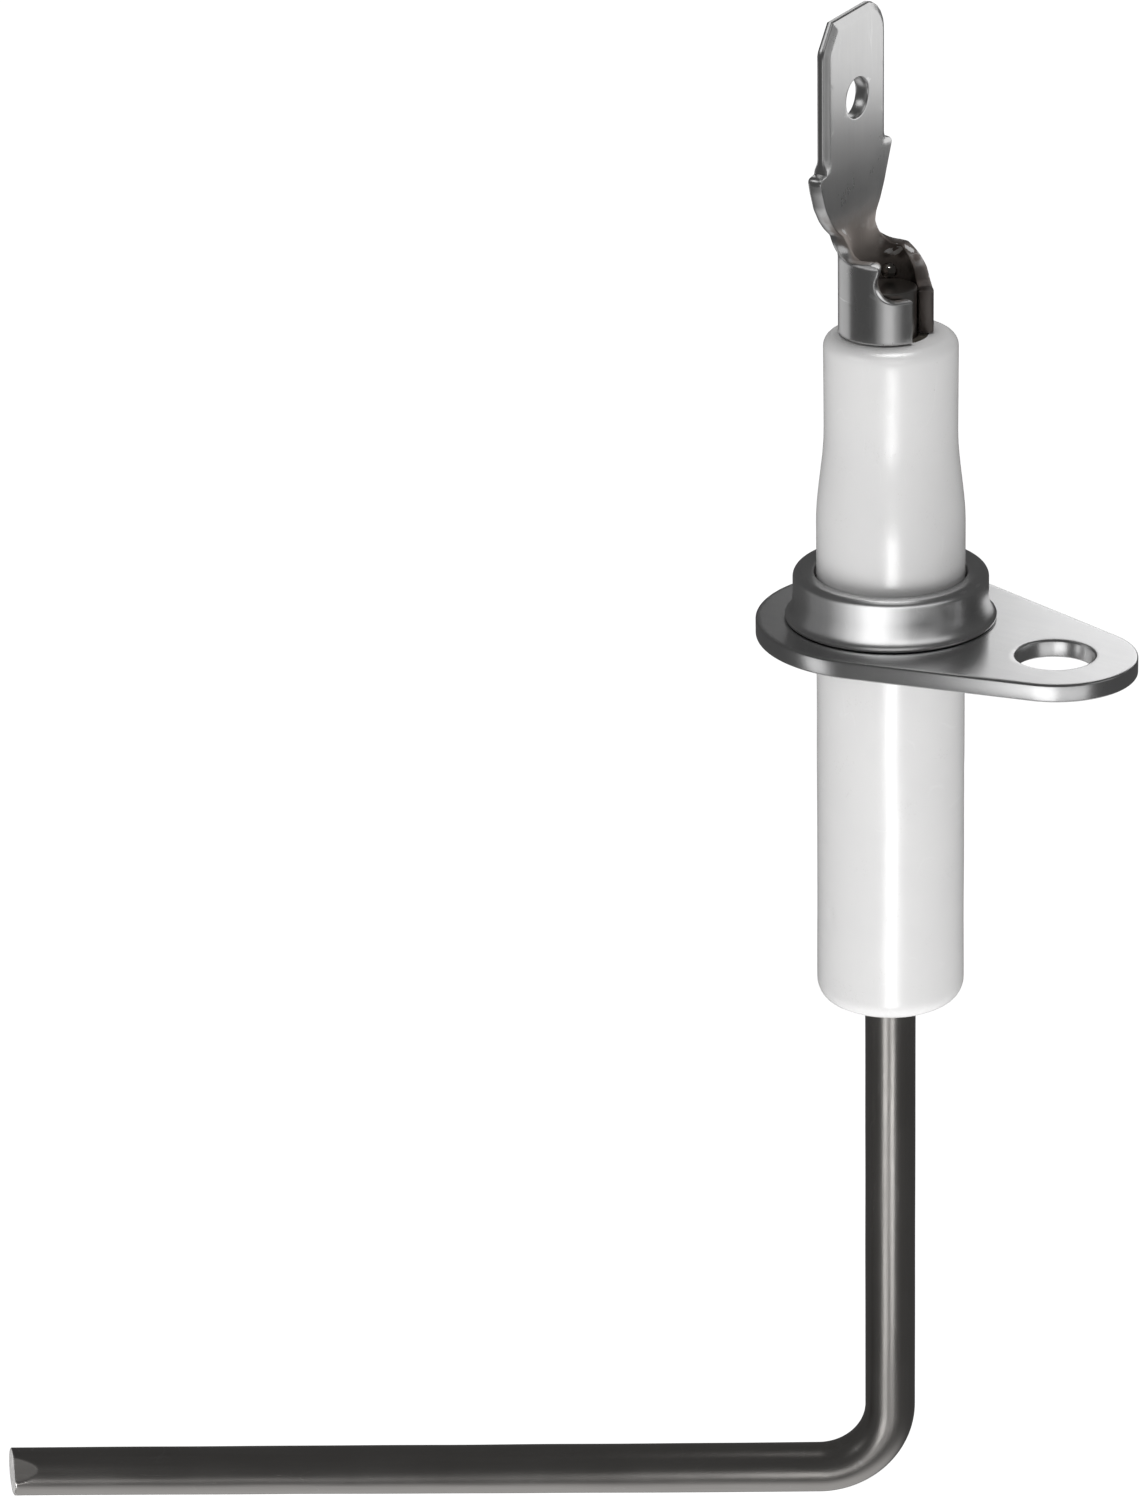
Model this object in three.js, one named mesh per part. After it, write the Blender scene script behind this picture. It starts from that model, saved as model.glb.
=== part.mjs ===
// Ignition electrode of a gas burner: a bent wire in a ceramic tube, held by a flange, with a push-on tab on
// top.
//
// Millimetres. +Z points up to the tab and +X from the ceramic's axis to the fixing hole in the flange's ear.
// The origin is on the ceramic's axis, in the plane of the flange's underside.

import * as THREE from 'three';
import { mergeVertices } from 'three/addons/utils/BufferGeometryUtils.js';

const DEG = Math.PI / 180;
const ROUND = 48; // sides of a turned piece
const FIT_GAP = 0.05; // daylight left between two pieces that touch

// Flange: a teardrop plate with a fixing hole in its ear
const flange = { thickness: 1.0, radius: 7.26, edge: 0.12 };
const ear = { radius: 4.41, distance: 10.4, holeRadius: 2.125 };

// Ceramic tube, in heights above the flange's underside
const ceramic = { top: 17.0, bottom: -21.2, radius: 4.0, neckRadius: 3.6, boreRadius: 1.65 };
const flare = { top: 11.6, bottom: 6.4 }; // the stretch where the neck widens
const socket = { radius: 2.0, depth: 3.0 }; // the wide mouth at each end of the bore, filled with cement

// Electrode wire, bent once to a level leg
const wire = { radius: 1.4, top: 19.6, legHeight: -50.3, legReach: 49.7, bend: 4.0, legTurn: 215.2 * DEG };

// Sleeve: drawn from sheet, its lip rolled onto the ceramic and its spigot spread under the flange
const sleeve = { wall: 0.5, bore: 4.12, radius: 5.26, footRadius: 5.68, height: 2.75 };
const rim = { radius: 4.67, depth: 0.5, round: 0.2 };
const lip = { crest: 4.62, innerDepth: 0.75 };
const spigotRadius = rim.radius - 0.12;
const footHeight = flange.thickness + FIT_GAP;
const lipHeight = flange.thickness + sleeve.height;

// Tab terminal: one strip, cut flat and then rolled round the wire below its neck
const strip = { thickness: 0.8, turn: 3 * DEG, shift: -0.08, base: ceramic.top + FIT_GAP, tip: 34.45 };
const barrel = { radius: 2.13, axis: -0.27, halfTurn: 156 * DEG, top: 21.45, lipTop: 19.4 };
const blade = { half: 3.15, chamferHeight: 1.7, holeRadius: 1.05, holeDrop: 4.8 };
const chamfer = { rear: 1.55, front: 1.05, slope: 0.2 }; // the tip's two corner cuts; the front one is lower
const shoulder = { half: 3.65, height: 26.65 };
const neck = { half: 1.78, height: 22.5, fillet: 1.07 };
const curl = { full: 21.2, none: 23.0 }; // heights between which the rolled barrel turns into the flat blade

// ---------------------------------------------------------------------------------------------- helpers

/** A turned piece from a closed outline of [radius, height] points. */
function turned(points) {
  const outline = points.map(([r, z]) => new THREE.Vector2(r, z));
  outline.push(outline[0].clone());
  return new THREE.LatheGeometry(outline, ROUND).rotateX(Math.PI / 2);
}

/** Points of an elliptical arc about (r, z), from angle `from` to angle `to` in degrees. */
function arc(r, z, radiusR, radiusZ, from, to, steps) {
  return Array.from({ length: steps + 1 }, (_, i) => {
    const angle = (from + ((to - from) * i) / steps) * DEG;
    return [r + radiusR * Math.cos(angle), z + radiusZ * Math.sin(angle)];
  });
}

/** The same closed surface in small triangles: longest edges are halved, again and again, down to `longest`. */
function splitLongEdges(geometry, longest) {
  const bare = geometry.clone();
  bare.deleteAttribute('normal');
  bare.deleteAttribute('uv');
  const merged = mergeVertices(bare);
  const position = merged.attributes.position;
  const points = Array.from({ length: position.count }, (_, i) => {
    return new THREE.Vector3().fromBufferAttribute(position, i);
  });
  const keyOf = (a, b) => `${Math.min(a, b)} ${Math.max(a, b)}`;
  const lengthOf = (a, b) => points[a].distanceTo(points[b]);
  let triangles = [];
  for (let i = 0; i < merged.index.count; i += 3) {
    triangles.push(Array.from(merged.index.array.slice(i, i + 3)));
  }
  const middles = new Map();
  do {
    middles.clear();
    // each triangle is turned so that its longest edge comes first, and that edge is halved if it is too long
    triangles = triangles.map(([a, b, c]) => {
      const turns = [[a, b, c], [b, c, a], [c, a, b]];
      const lengths = turns.map(([from, to]) => lengthOf(from, to));
      return turns[lengths.indexOf(Math.max(...lengths))];
    });
    for (const [a, b] of triangles) {
      if (lengthOf(a, b) > longest && !middles.has(keyOf(a, b))) {
        middles.set(keyOf(a, b), points.push(points[a].clone().lerp(points[b], 0.5)) - 1);
      }
    }
    // a triangle with a halved edge becomes a fan about the first of its new points
    triangles = triangles.flatMap(([a, b, c]) => {
      const halved = [[a, b], [b, c], [c, a]].map(([from, to]) => middles.get(keyOf(from, to)));
      const ring = [halved[0], b, halved[1], c, halved[2], a].filter((corner) => corner !== undefined);
      const start = Math.max(ring.findIndex((corner) => halved.includes(corner)), 0);
      return Array.from({ length: ring.length - 2 }, (_, k) => [
        ring[start],
        ring[(start + k + 1) % ring.length],
        ring[(start + k + 2) % ring.length],
      ]);
    });
  } while (middles.size > 0);
  return new THREE.BufferGeometry().setFromPoints(points).setIndex(triangles.flat());
}

/** A named mesh with its own material. */
function piece(name, geometry, color, roughness, metalness) {
  const mesh = new THREE.Mesh(geometry, new THREE.MeshStandardMaterial({ color, roughness, metalness }));
  mesh.name = name;
  return mesh;
}

// ---------------------------------------------------------------------------------------------- ceramic

/** The tube: a plain lower end, a narrower neck, soft outer edges, and a bore with a wide mouth at each end. */
function ceramicTube() {
  const topEdge = 0.7;
  const foot = { width: 0.9, height: 1.1 };
  const flareSteps = 6;
  const flareLine = Array.from({ length: flareSteps + 1 }, (_, i) => {
    const z = THREE.MathUtils.lerp(flare.bottom, flare.top, i / flareSteps);
    const narrowing = THREE.MathUtils.smoothstep(z, flare.bottom, flare.top);
    return [THREE.MathUtils.lerp(ceramic.radius, ceramic.neckRadius, narrowing), z];
  });
  return turned([
    [socket.radius, ceramic.bottom],
    ...arc(ceramic.radius - foot.width, ceramic.bottom + foot.height, foot.width, foot.height, -90, 0, 5),
    ...flareLine,
    ...arc(ceramic.neckRadius - topEdge, ceramic.top - topEdge, topEdge, topEdge, 0, 90, 5),
    [socket.radius, ceramic.top],
    [socket.radius, ceramic.top - socket.depth],
    [ceramic.boreRadius, ceramic.top - socket.depth],
    [ceramic.boreRadius, ceramic.bottom + socket.depth],
    [socket.radius, ceramic.bottom + socket.depth],
  ]);
}

/** A ring of cement that fills one mouth of the bore, whose lower end is at height `mouth`. */
function cementRing(mouth) {
  const inner = wire.radius + FIT_GAP;
  const outer = socket.radius - FIT_GAP;
  const low = mouth + FIT_GAP;
  const high = mouth + socket.depth - FIT_GAP;
  return turned([[inner, low], [outer, low], [outer, high], [inner, high]]);
}

// ---------------------------------------------------------------------------------------------- flange

/** The plate's teardrop outline: two arcs and the two straight lines that touch both. */
function flangeOutline(inset) {
  const bodyRadius = flange.radius - inset;
  const earRadius = ear.radius - inset;
  const touch = Math.acos((flange.radius - ear.radius) / ear.distance);
  const outline = new THREE.Shape();
  outline.absarc(0, 0, bodyRadius, touch, 2 * Math.PI - touch, false);
  outline.absarc(ear.distance, 0, earRadius, -touch, touch, false);
  outline.closePath();
  return outline;
}

/** The plate, with the sleeve's hole, the fixing hole and a slightly broken edge. */
function flangePlate() {
  const outline = flangeOutline(flange.edge);
  const sleeveHole = new THREE.Path().absarc(0, 0, spigotRadius + FIT_GAP + flange.edge, 0, 2 * Math.PI, true);
  const fixingHole = new THREE.Path();
  fixingHole.absarc(ear.distance, 0, ear.holeRadius + flange.edge, 0, 2 * Math.PI, true);
  outline.holes.push(sleeveHole, fixingHole);
  const plate = new THREE.ExtrudeGeometry(outline, {
    depth: flange.thickness - 2 * flange.edge,
    bevelThickness: flange.edge,
    bevelSize: flange.edge,
    bevelSegments: 1,
    curveSegments: 22,
  });
  return plate.translate(0, 0, flange.edge);
}

/** The sleeve: a spread rim under the plate, a spigot, a flared foot, a wall, and a lip rolled into a bead. */
function collarSleeve() {
  const { bore, wall, radius, footRadius } = sleeve;
  const footEdge = 0.12;
  const foot = { width: footRadius - radius, height: 1.25 };
  const lipOuter = radius - lip.crest;
  const lipInner = lip.crest - bore;
  const lipEnd = lipHeight - lip.innerDepth;
  return turned([
    [bore, -rim.depth],
    [rim.radius - rim.round, -rim.depth],
    [rim.radius, rim.round - rim.depth],
    [rim.radius, -FIT_GAP],
    [spigotRadius, -FIT_GAP],
    [spigotRadius, footHeight],
    [footRadius, footHeight],
    ...arc(footRadius, footHeight + footEdge + foot.height, foot.width, foot.height, 270, 180, 5),
    ...arc(lip.crest, lipHeight - lipOuter, lipOuter, lipOuter, 0, 90, 5),
    ...arc(lip.crest, lipHeight - lipInner, lipInner, lipInner, 90, 180, 5).slice(1),
    [bore, lipEnd],
    [radius - wall, lipEnd],
    [radius - wall, footHeight + wall],
    [bore, footHeight + wall],
  ]);
}

/** The ring packed into the sleeve's groove, which seals it to the ceramic. */
function packingRing() {
  const inner = ceramic.radius + FIT_GAP;
  const outer = sleeve.radius - sleeve.wall - FIT_GAP;
  const low = footHeight + sleeve.wall + FIT_GAP;
  const high = lipHeight - lip.innerDepth - FIT_GAP;
  return turned([[inner, low], [outer, low], [outer, high], [inner, high]]);
}

// ---------------------------------------------------------------------------------------------- wire

/** The wire's centre line: straight down, a quarter bend and a level leg, with most stations in the bend. */
class WirePath extends THREE.Curve {
  getPoint(t, target = new THREE.Vector3()) {
    const bendStart = 0.1;
    const bendEnd = 0.9;
    const bendTop = wire.legHeight + wire.bend;
    if (t <= bendStart) {
      return target.set(0, 0, THREE.MathUtils.lerp(wire.top, bendTop, t / bendStart));
    }
    if (t >= bendEnd) {
      const along = (t - bendEnd) / (1 - bendEnd);
      return target.set(THREE.MathUtils.lerp(wire.bend, wire.legReach, along), 0, wire.legHeight);
    }
    const angle = ((t - bendStart) / (bendEnd - bendStart)) * (Math.PI / 2);
    return target.set(wire.bend * (1 - Math.cos(angle)), 0, bendTop - wire.bend * Math.sin(angle));
  }

  getUtoTmapping(u) {
    return u;
  }
}

/** The wire, with its leg turned to its own side of the flange. */
function electrodeWire() {
  const section = new THREE.Shape().absarc(0, 0, wire.radius, 0, 2 * Math.PI, false);
  const options = { steps: 20, curveSegments: 10, bevelEnabled: false, extrudePath: new WirePath() };
  return new THREE.ExtrudeGeometry(section, options).rotateZ(wire.legTurn);
}

// ---------------------------------------------------------------------------------------------- terminal

/** One side of the strip from neck to tip, where the corner is cut back by `cut` and lowered by `drop`. */
function bladeSide(cut, drop) {
  const { half, height } = shoulder;
  return [
    [2.45, 23.45],
    [3.0, 24.3],
    [half - 0.05, height - 0.7],
    [half, height - 0.35],
    [blade.half, height],
    [blade.half, strip.tip - blade.chamferHeight],
    [blade.half - cut, strip.tip - drop],
  ];
}

/** The front wing: its lip, the round notch in its upper corner, and the corner left beside the notch. */
function frontWing() {
  const edge = barrel.radius * barrel.halfTurn;
  const notch = { s: 5.04, radius: 1.0 };
  return [
    [edge, strip.base],
    [edge, barrel.lipTop],
    ...arc(notch.s, barrel.lipTop + notch.radius, -notch.radius, notch.radius, -90, 30, 8),
    [4.31, barrel.top + 0.25],
  ];
}

/** The rear wing: its lip, and an upper corner that slopes down to it. */
function rearWing() {
  const edge = barrel.radius * barrel.halfTurn;
  return [
    [edge, strip.base],
    [edge, barrel.lipTop],
    [5.1, barrel.lipTop],
    [4.82, barrel.lipTop + 0.25],
    [4.45, 20.3],
    [3.88, 20.9],
    [3.3, barrel.top - 0.05],
  ];
}

/** The small round that leads from a wing's top edge up into the neck. */
function neckFillet() {
  return arc(neck.half + neck.fillet, neck.height, neck.fillet, neck.height - barrel.top, -90, -180, 5);
}

/** The flat strip's outline, with s across the strip and z up, and the round hole in the blade. */
function stripOutline() {
  const rear = [...rearWing(), ...neckFillet(), ...bladeSide(chamfer.rear, 0)];
  const front = [...frontWing(), ...neckFillet(), ...bladeSide(chamfer.front, chamfer.slope)];
  const mirrored = front.map(([s, z]) => [-s, z]).reverse();
  const outline = new THREE.Shape([...rear, ...mirrored].map(([s, z]) => new THREE.Vector2(s, z)));
  const hole = new THREE.Path();
  hole.absarc(0, strip.tip - blade.holeDrop, blade.holeRadius, 0, 2 * Math.PI, true);
  outline.holes.push(hole);
  return outline;
}

/** Rolls the flat strip: round below `curl.full`, flat above `curl.none`, and a smooth change between them. */
function rollStrip(geometry) {
  const position = geometry.attributes.position;
  const spine = barrel.axis - barrel.radius;
  for (let i = 0; i < position.count; i += 1) {
    const s = position.getX(i);
    const z = position.getY(i);
    const inward = position.getZ(i);
    const rolled = Math.max(1 - THREE.MathUtils.smoothstep(z, curl.full, curl.none), 1e-6);
    const radius = barrel.radius / rolled;
    const angle = s / radius;
    const x = spine + radius * (1 - Math.cos(angle)) + inward * Math.cos(angle);
    const y = (radius - inward) * Math.sin(angle);
    position.setXYZ(i, x, y, z);
  }
  return geometry;
}

/** The terminal: the outline given its thickness, cut into small faces, rolled and turned to its place. */
function tabTerminal() {
  const flat = new THREE.ExtrudeGeometry(stripOutline(), {
    depth: strip.thickness,
    bevelEnabled: false,
    curveSegments: 10,
  });
  flat.translate(0, 0, -strip.thickness / 2);
  const rolled = rollStrip(splitLongEdges(flat, 0.8));
  rolled.computeVertexNormals();
  return rolled.translate(0, strip.shift, 0).rotateZ(strip.turn);
}

/** The bead of weld metal on the wire's end, inside the barrel. */
function weldBead() {
  const radius = 0.62;
  const halfHeight = 0.4;
  const bead = new THREE.SphereGeometry(radius, 16, 10).scale(1, 1, halfHeight / radius);
  return bead.translate(-0.6, 0.72, wire.top + halfHeight + FIT_GAP);
}

// ---------------------------------------------------------------------------------------------- object

const electrode = new THREE.Group();
electrode.add(
  piece('ceramic_insulator', ceramicTube(), 0xe4e4e2, 0.45, 0),
  piece('upper_cement_ring', cementRing(ceramic.top - socket.depth), 0xcfc8b8, 0.9, 0),
  piece('lower_cement_ring', cementRing(ceramic.bottom), 0xcfc8b8, 0.9, 0),
  piece('mounting_flange', flangePlate(), 0xa9abac, 0.35, 1),
  piece('collar_sleeve', collarSleeve(), 0xb4b6b7, 0.3, 1),
  piece('packing_ring', packingRing(), 0x5a5a58, 0.85, 0),
  piece('electrode_wire', electrodeWire(), 0x4b4542, 0.45, 1),
  piece('tab_terminal', tabTerminal(), 0xa3a4a5, 0.32, 1),
  piece('weld_bead', weldBead(), 0xc8c8c6, 0.3, 1),
);

export default electrode;
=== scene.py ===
"""Looks of a burner's ignition electrode: a bent wire in a ceramic tube, a flange with its sleeve, and a tab.

Sizes in the classes are millimetres in the CAD frame: +Z up to the tab, +X from the ceramic's axis to the
fixing hole, and the origin on that axis in the plane of the flange's underside.
"""

import logging
import math
from dataclasses import dataclass, field
from enum import Enum
from functools import reduce
from typing import Any

import bmesh
import bpy
import numpy as np
from mathutils import Matrix, Vector
from numpy.typing import NDArray


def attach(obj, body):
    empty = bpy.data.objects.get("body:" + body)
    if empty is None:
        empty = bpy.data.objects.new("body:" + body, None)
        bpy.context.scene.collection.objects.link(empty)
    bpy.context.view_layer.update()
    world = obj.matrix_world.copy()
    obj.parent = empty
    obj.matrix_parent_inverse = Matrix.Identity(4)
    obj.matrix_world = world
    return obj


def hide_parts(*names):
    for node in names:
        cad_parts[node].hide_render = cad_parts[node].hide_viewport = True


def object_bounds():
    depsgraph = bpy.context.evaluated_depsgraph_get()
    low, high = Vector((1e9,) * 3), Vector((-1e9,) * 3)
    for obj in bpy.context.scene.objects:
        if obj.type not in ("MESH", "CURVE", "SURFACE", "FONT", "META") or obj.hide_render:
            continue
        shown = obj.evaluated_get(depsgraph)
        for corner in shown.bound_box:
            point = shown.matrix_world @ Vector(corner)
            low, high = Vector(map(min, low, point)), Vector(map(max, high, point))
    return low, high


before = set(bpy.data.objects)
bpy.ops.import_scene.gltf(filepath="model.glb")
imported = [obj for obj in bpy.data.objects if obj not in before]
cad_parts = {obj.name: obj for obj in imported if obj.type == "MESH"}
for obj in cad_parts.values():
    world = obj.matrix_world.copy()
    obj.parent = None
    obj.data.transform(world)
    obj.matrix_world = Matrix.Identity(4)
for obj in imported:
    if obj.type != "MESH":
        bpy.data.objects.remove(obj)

Array = NDArray[np.float64]
Colour = tuple[float, float, float]
Pair = tuple[float, float]
Point = tuple[float, float, float]
Material = bpy.types.Material
Socket = bpy.types.NodeSocket
Tree = bpy.types.NodeTree

CAD_BOX = [list(corner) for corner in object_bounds()]
MM = 0.001
BODY = "root"
MERGE_DISTANCE = 1.5e-6
UNBENT = "unbent"
TINY = 1e-6
RIPPLE_TURNS = 5
RIPPLE_PITCHES = (0.15, 1.1)
RIPPLE_WEIGHTS = (0.5, 1.0)
FULL_TURN = 2.0 * math.pi

log = logging.getLogger("electrode")


# ------------------------------------------------------------ curves


def arc(centre: Pair, radii: Pair, start: float, end: float, steps: int) -> Array:
    """An elliptical arc: centre + (radius_a cos t, radius_b sin t), with t in even steps.

    Args:
        centre: the ellipse's centre.
        radii: its two half axes.
        start: first angle in degrees.
        end: last angle in degrees.
        steps: number of steps between them.

    Returns:
        The points, one per row.
    """
    turn = np.radians(np.linspace(start, end, steps + 1))
    return np.column_stack([centre[0] + radii[0] * np.cos(turn), centre[1] + radii[1] * np.sin(turn)])


def smoothstep(low: float, high: float, value: Array) -> Array:
    """3t^2 - 2t^3, where t is how far value is from low to high, held between 0 and 1."""
    share = np.clip((value - low) / (high - low), 0.0, 1.0)
    return share * share * (3.0 - 2.0 * share)


def resampled(line: Array, count: int) -> Array:
    """The polyline's points at count + 1 even distances along it, found by linear interpolation."""
    steps = np.linalg.norm(np.diff(line, axis=0), axis=1)
    travel = np.concatenate([[0.0], np.cumsum(steps)])
    wanted = np.linspace(0.0, travel[-1], count + 1)
    return np.column_stack([np.interp(wanted, travel, line[:, axis]) for axis in range(line.shape[1])])


def densified(line: Array, longest: float) -> Array:
    """The polyline with each stretch longer than longest cut into even steps, its own points kept."""
    parts = []
    for start, end in zip(line[:-1], line[1:]):
        steps = max(1, math.ceil(float(np.linalg.norm(end - start)) / longest))
        share = np.arange(steps)[:, None] / steps
        parts.append(start + (end - start) * share)
    return np.vstack([*parts, line[-1:]])


def unit(rows: Array) -> Array:
    """The rows scaled to length one."""
    return rows / np.maximum(np.linalg.norm(rows, axis=1, keepdims=True), TINY)


def around(columns: int) -> Array:
    """Even angles once round, from 0, without the last."""
    return np.linspace(0.0, FULL_TURN, columns, endpoint=False)


def inward_normals(loop: Array) -> Array:
    """Unit normals of a closed counter-clockwise loop, from central differences, pointing inside."""
    along = unit(np.roll(loop, -1, axis=0) - loop) + unit(loop - np.roll(loop, 1, axis=0))
    along = unit(along)
    return np.column_stack([-along[:, 1], along[:, 0]])


def distance_to_loop(points: Array, loop: Array) -> Array:
    """Each point's least distance to the closed loop's segments.

    The foot on a segment is start + t (end - start), with t the projection's share, held from 0 to 1.

    Args:
        points: an array whose last axis is 2.
        loop: the closed loop's corners.

    Returns:
        The distances, in the shape of points without its last axis.
    """
    flat = points.reshape(-1, 1, 2)
    start = loop[None, :, :]
    edge = np.roll(loop, -1, axis=0)[None, :, :] - start
    share = np.sum((flat - start) * edge, axis=2) / np.maximum(np.sum(edge * edge, axis=2), TINY**2)
    foot = start + edge * np.clip(share, 0.0, 1.0)[..., None]
    return np.linalg.norm(flat - foot, axis=2).min(axis=1).reshape(points.shape[:-1])


def ripple(across: Array, along: Array, seed: int, waves: int = 7) -> Array:
    """A gentle uneven surface: a sum of sines of whole turns across and random pitches along, at most 1.

    Args:
        across: angle round the piece in radians.
        along: distance along it in millimetres.
        seed: which uneven surface.
        waves: how many sines are summed.

    Returns:
        The height, between -1 and 1.
    """
    random = np.random.default_rng(seed)
    turns = random.integers(0, RIPPLE_TURNS, waves)
    pitches = random.uniform(*RIPPLE_PITCHES, waves)
    phases = random.uniform(0.0, FULL_TURN, waves)
    weights = random.uniform(*RIPPLE_WEIGHTS, waves)
    angle = across[..., None] * turns + along[..., None] * pitches + phases
    return np.sum(weights * np.sin(angle), axis=-1) / weights.sum()


def turned(profile: Array, columns: int) -> Array:
    """A surface of revolution: (r, z) at turn t goes to (r cos t, r sin t, z).

    Args:
        profile: closed outline of [radius, height] points.
        columns: stations round the axis.

    Returns:
        The grid of points, profile by columns.
    """
    turn = around(columns)
    radius = profile[:, 0][:, None]
    height = np.repeat(profile[:, 1][:, None], columns, axis=1)
    return np.stack([radius * np.cos(turn), radius * np.sin(turn), height], axis=-1)


# ------------------------------------------------------------ meshes


@dataclass
class Shell:
    """A piece's closed surface, gathered from grids that share their edge points."""

    name: str
    points: list[Array] = field(default_factory=list)
    unbent: list[Array] = field(default_factory=list)
    faces: list[NDArray[np.int64]] = field(default_factory=list)
    count: int = 0

    def add(
        self,
        grid: Array,
        unbent: Array | None = None,
        wrap_rows: bool = False,
        wrap_columns: bool = False,
    ) -> None:
        """Adds a grid as quads: corners (i, j), (i+1, j), (i+1, j+1), (i, j+1).

        Args:
            grid: rows by columns by 3, in millimetres.
            unbent: the same points before the piece was bent, or None if it wasn't.
            wrap_rows: the last row joins the first.
            wrap_columns: the last column joins the first.
        """
        rows, columns = grid.shape[:2]
        index = np.arange(rows * columns).reshape(rows, columns) + self.count
        if wrap_rows:
            index = np.vstack([index, index[:1]])
        if wrap_columns:
            index = np.hstack([index, index[:, :1]])
        corners = [index[:-1, :-1], index[1:, :-1], index[1:, 1:], index[:-1, 1:]]
        self.faces.append(np.stack(corners, axis=-1).reshape(-1, 4))
        self.points.append(grid.reshape(-1, 3))
        self.unbent.append((grid if unbent is None else unbent).reshape(-1, 3))
        self.count += rows * columns

    def made(self, sharp: float) -> bpy.types.Object:
        """Makes the object: shared points merged, faces outward, and edges over the angle left sharp.

        Args:
            sharp: the angle in degrees over which an edge isn't shaded smooth.

        Returns:
            The object, at the origin, in metres.
        """
        mesh = bpy.data.meshes.new(self.name)
        mesh.from_pydata((np.vstack(self.points) * MM).tolist(), [], np.vstack(self.faces).tolist())
        attribute = mesh.attributes.new(UNBENT, "FLOAT_VECTOR", "POINT")
        attribute.data.foreach_set("vector", (np.vstack(self.unbent) * MM).astype(np.float32).ravel())
        work = bmesh.new()
        work.from_mesh(mesh)
        bmesh.ops.remove_doubles(work, verts=work.verts, dist=MERGE_DISTANCE)
        bmesh.ops.recalc_face_normals(work, faces=work.faces)
        work.to_mesh(mesh)
        work.free()
        mesh.shade_smooth()
        mesh.set_sharp_from_angle(angle=math.radians(sharp))
        piece = bpy.data.objects.new(self.name, mesh)
        bpy.context.scene.collection.objects.link(piece)
        return piece


def placed(piece: bpy.types.Object, node: str, material: Material) -> None:
    """Gives the piece its finish and lets it stand for its CAD node.

    Args:
        piece: the new piece.
        node: the CAD node that it stands for.
        material: its finish.
    """
    piece.data.materials.append(material)
    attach(piece, BODY)
    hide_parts(node)
    log.info("%s: %d faces", piece.name, len(piece.data.polygons))


def dressed(node: str, material: Material) -> None:
    """Gives a CAD node that stays in view its finish.

    Args:
        node: the CAD node.
        material: its finish.
    """
    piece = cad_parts[node]
    piece.data.materials.clear()
    piece.data.materials.append(material)
    log.info("%s: finish only", node)


# ------------------------------------------------------------ finishes


class Space(Enum):
    """Where a finish's pattern lies: in the object's own frame, or along the stock before it was bent."""

    OBJECT = "object"
    STOCK = "stock"


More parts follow.
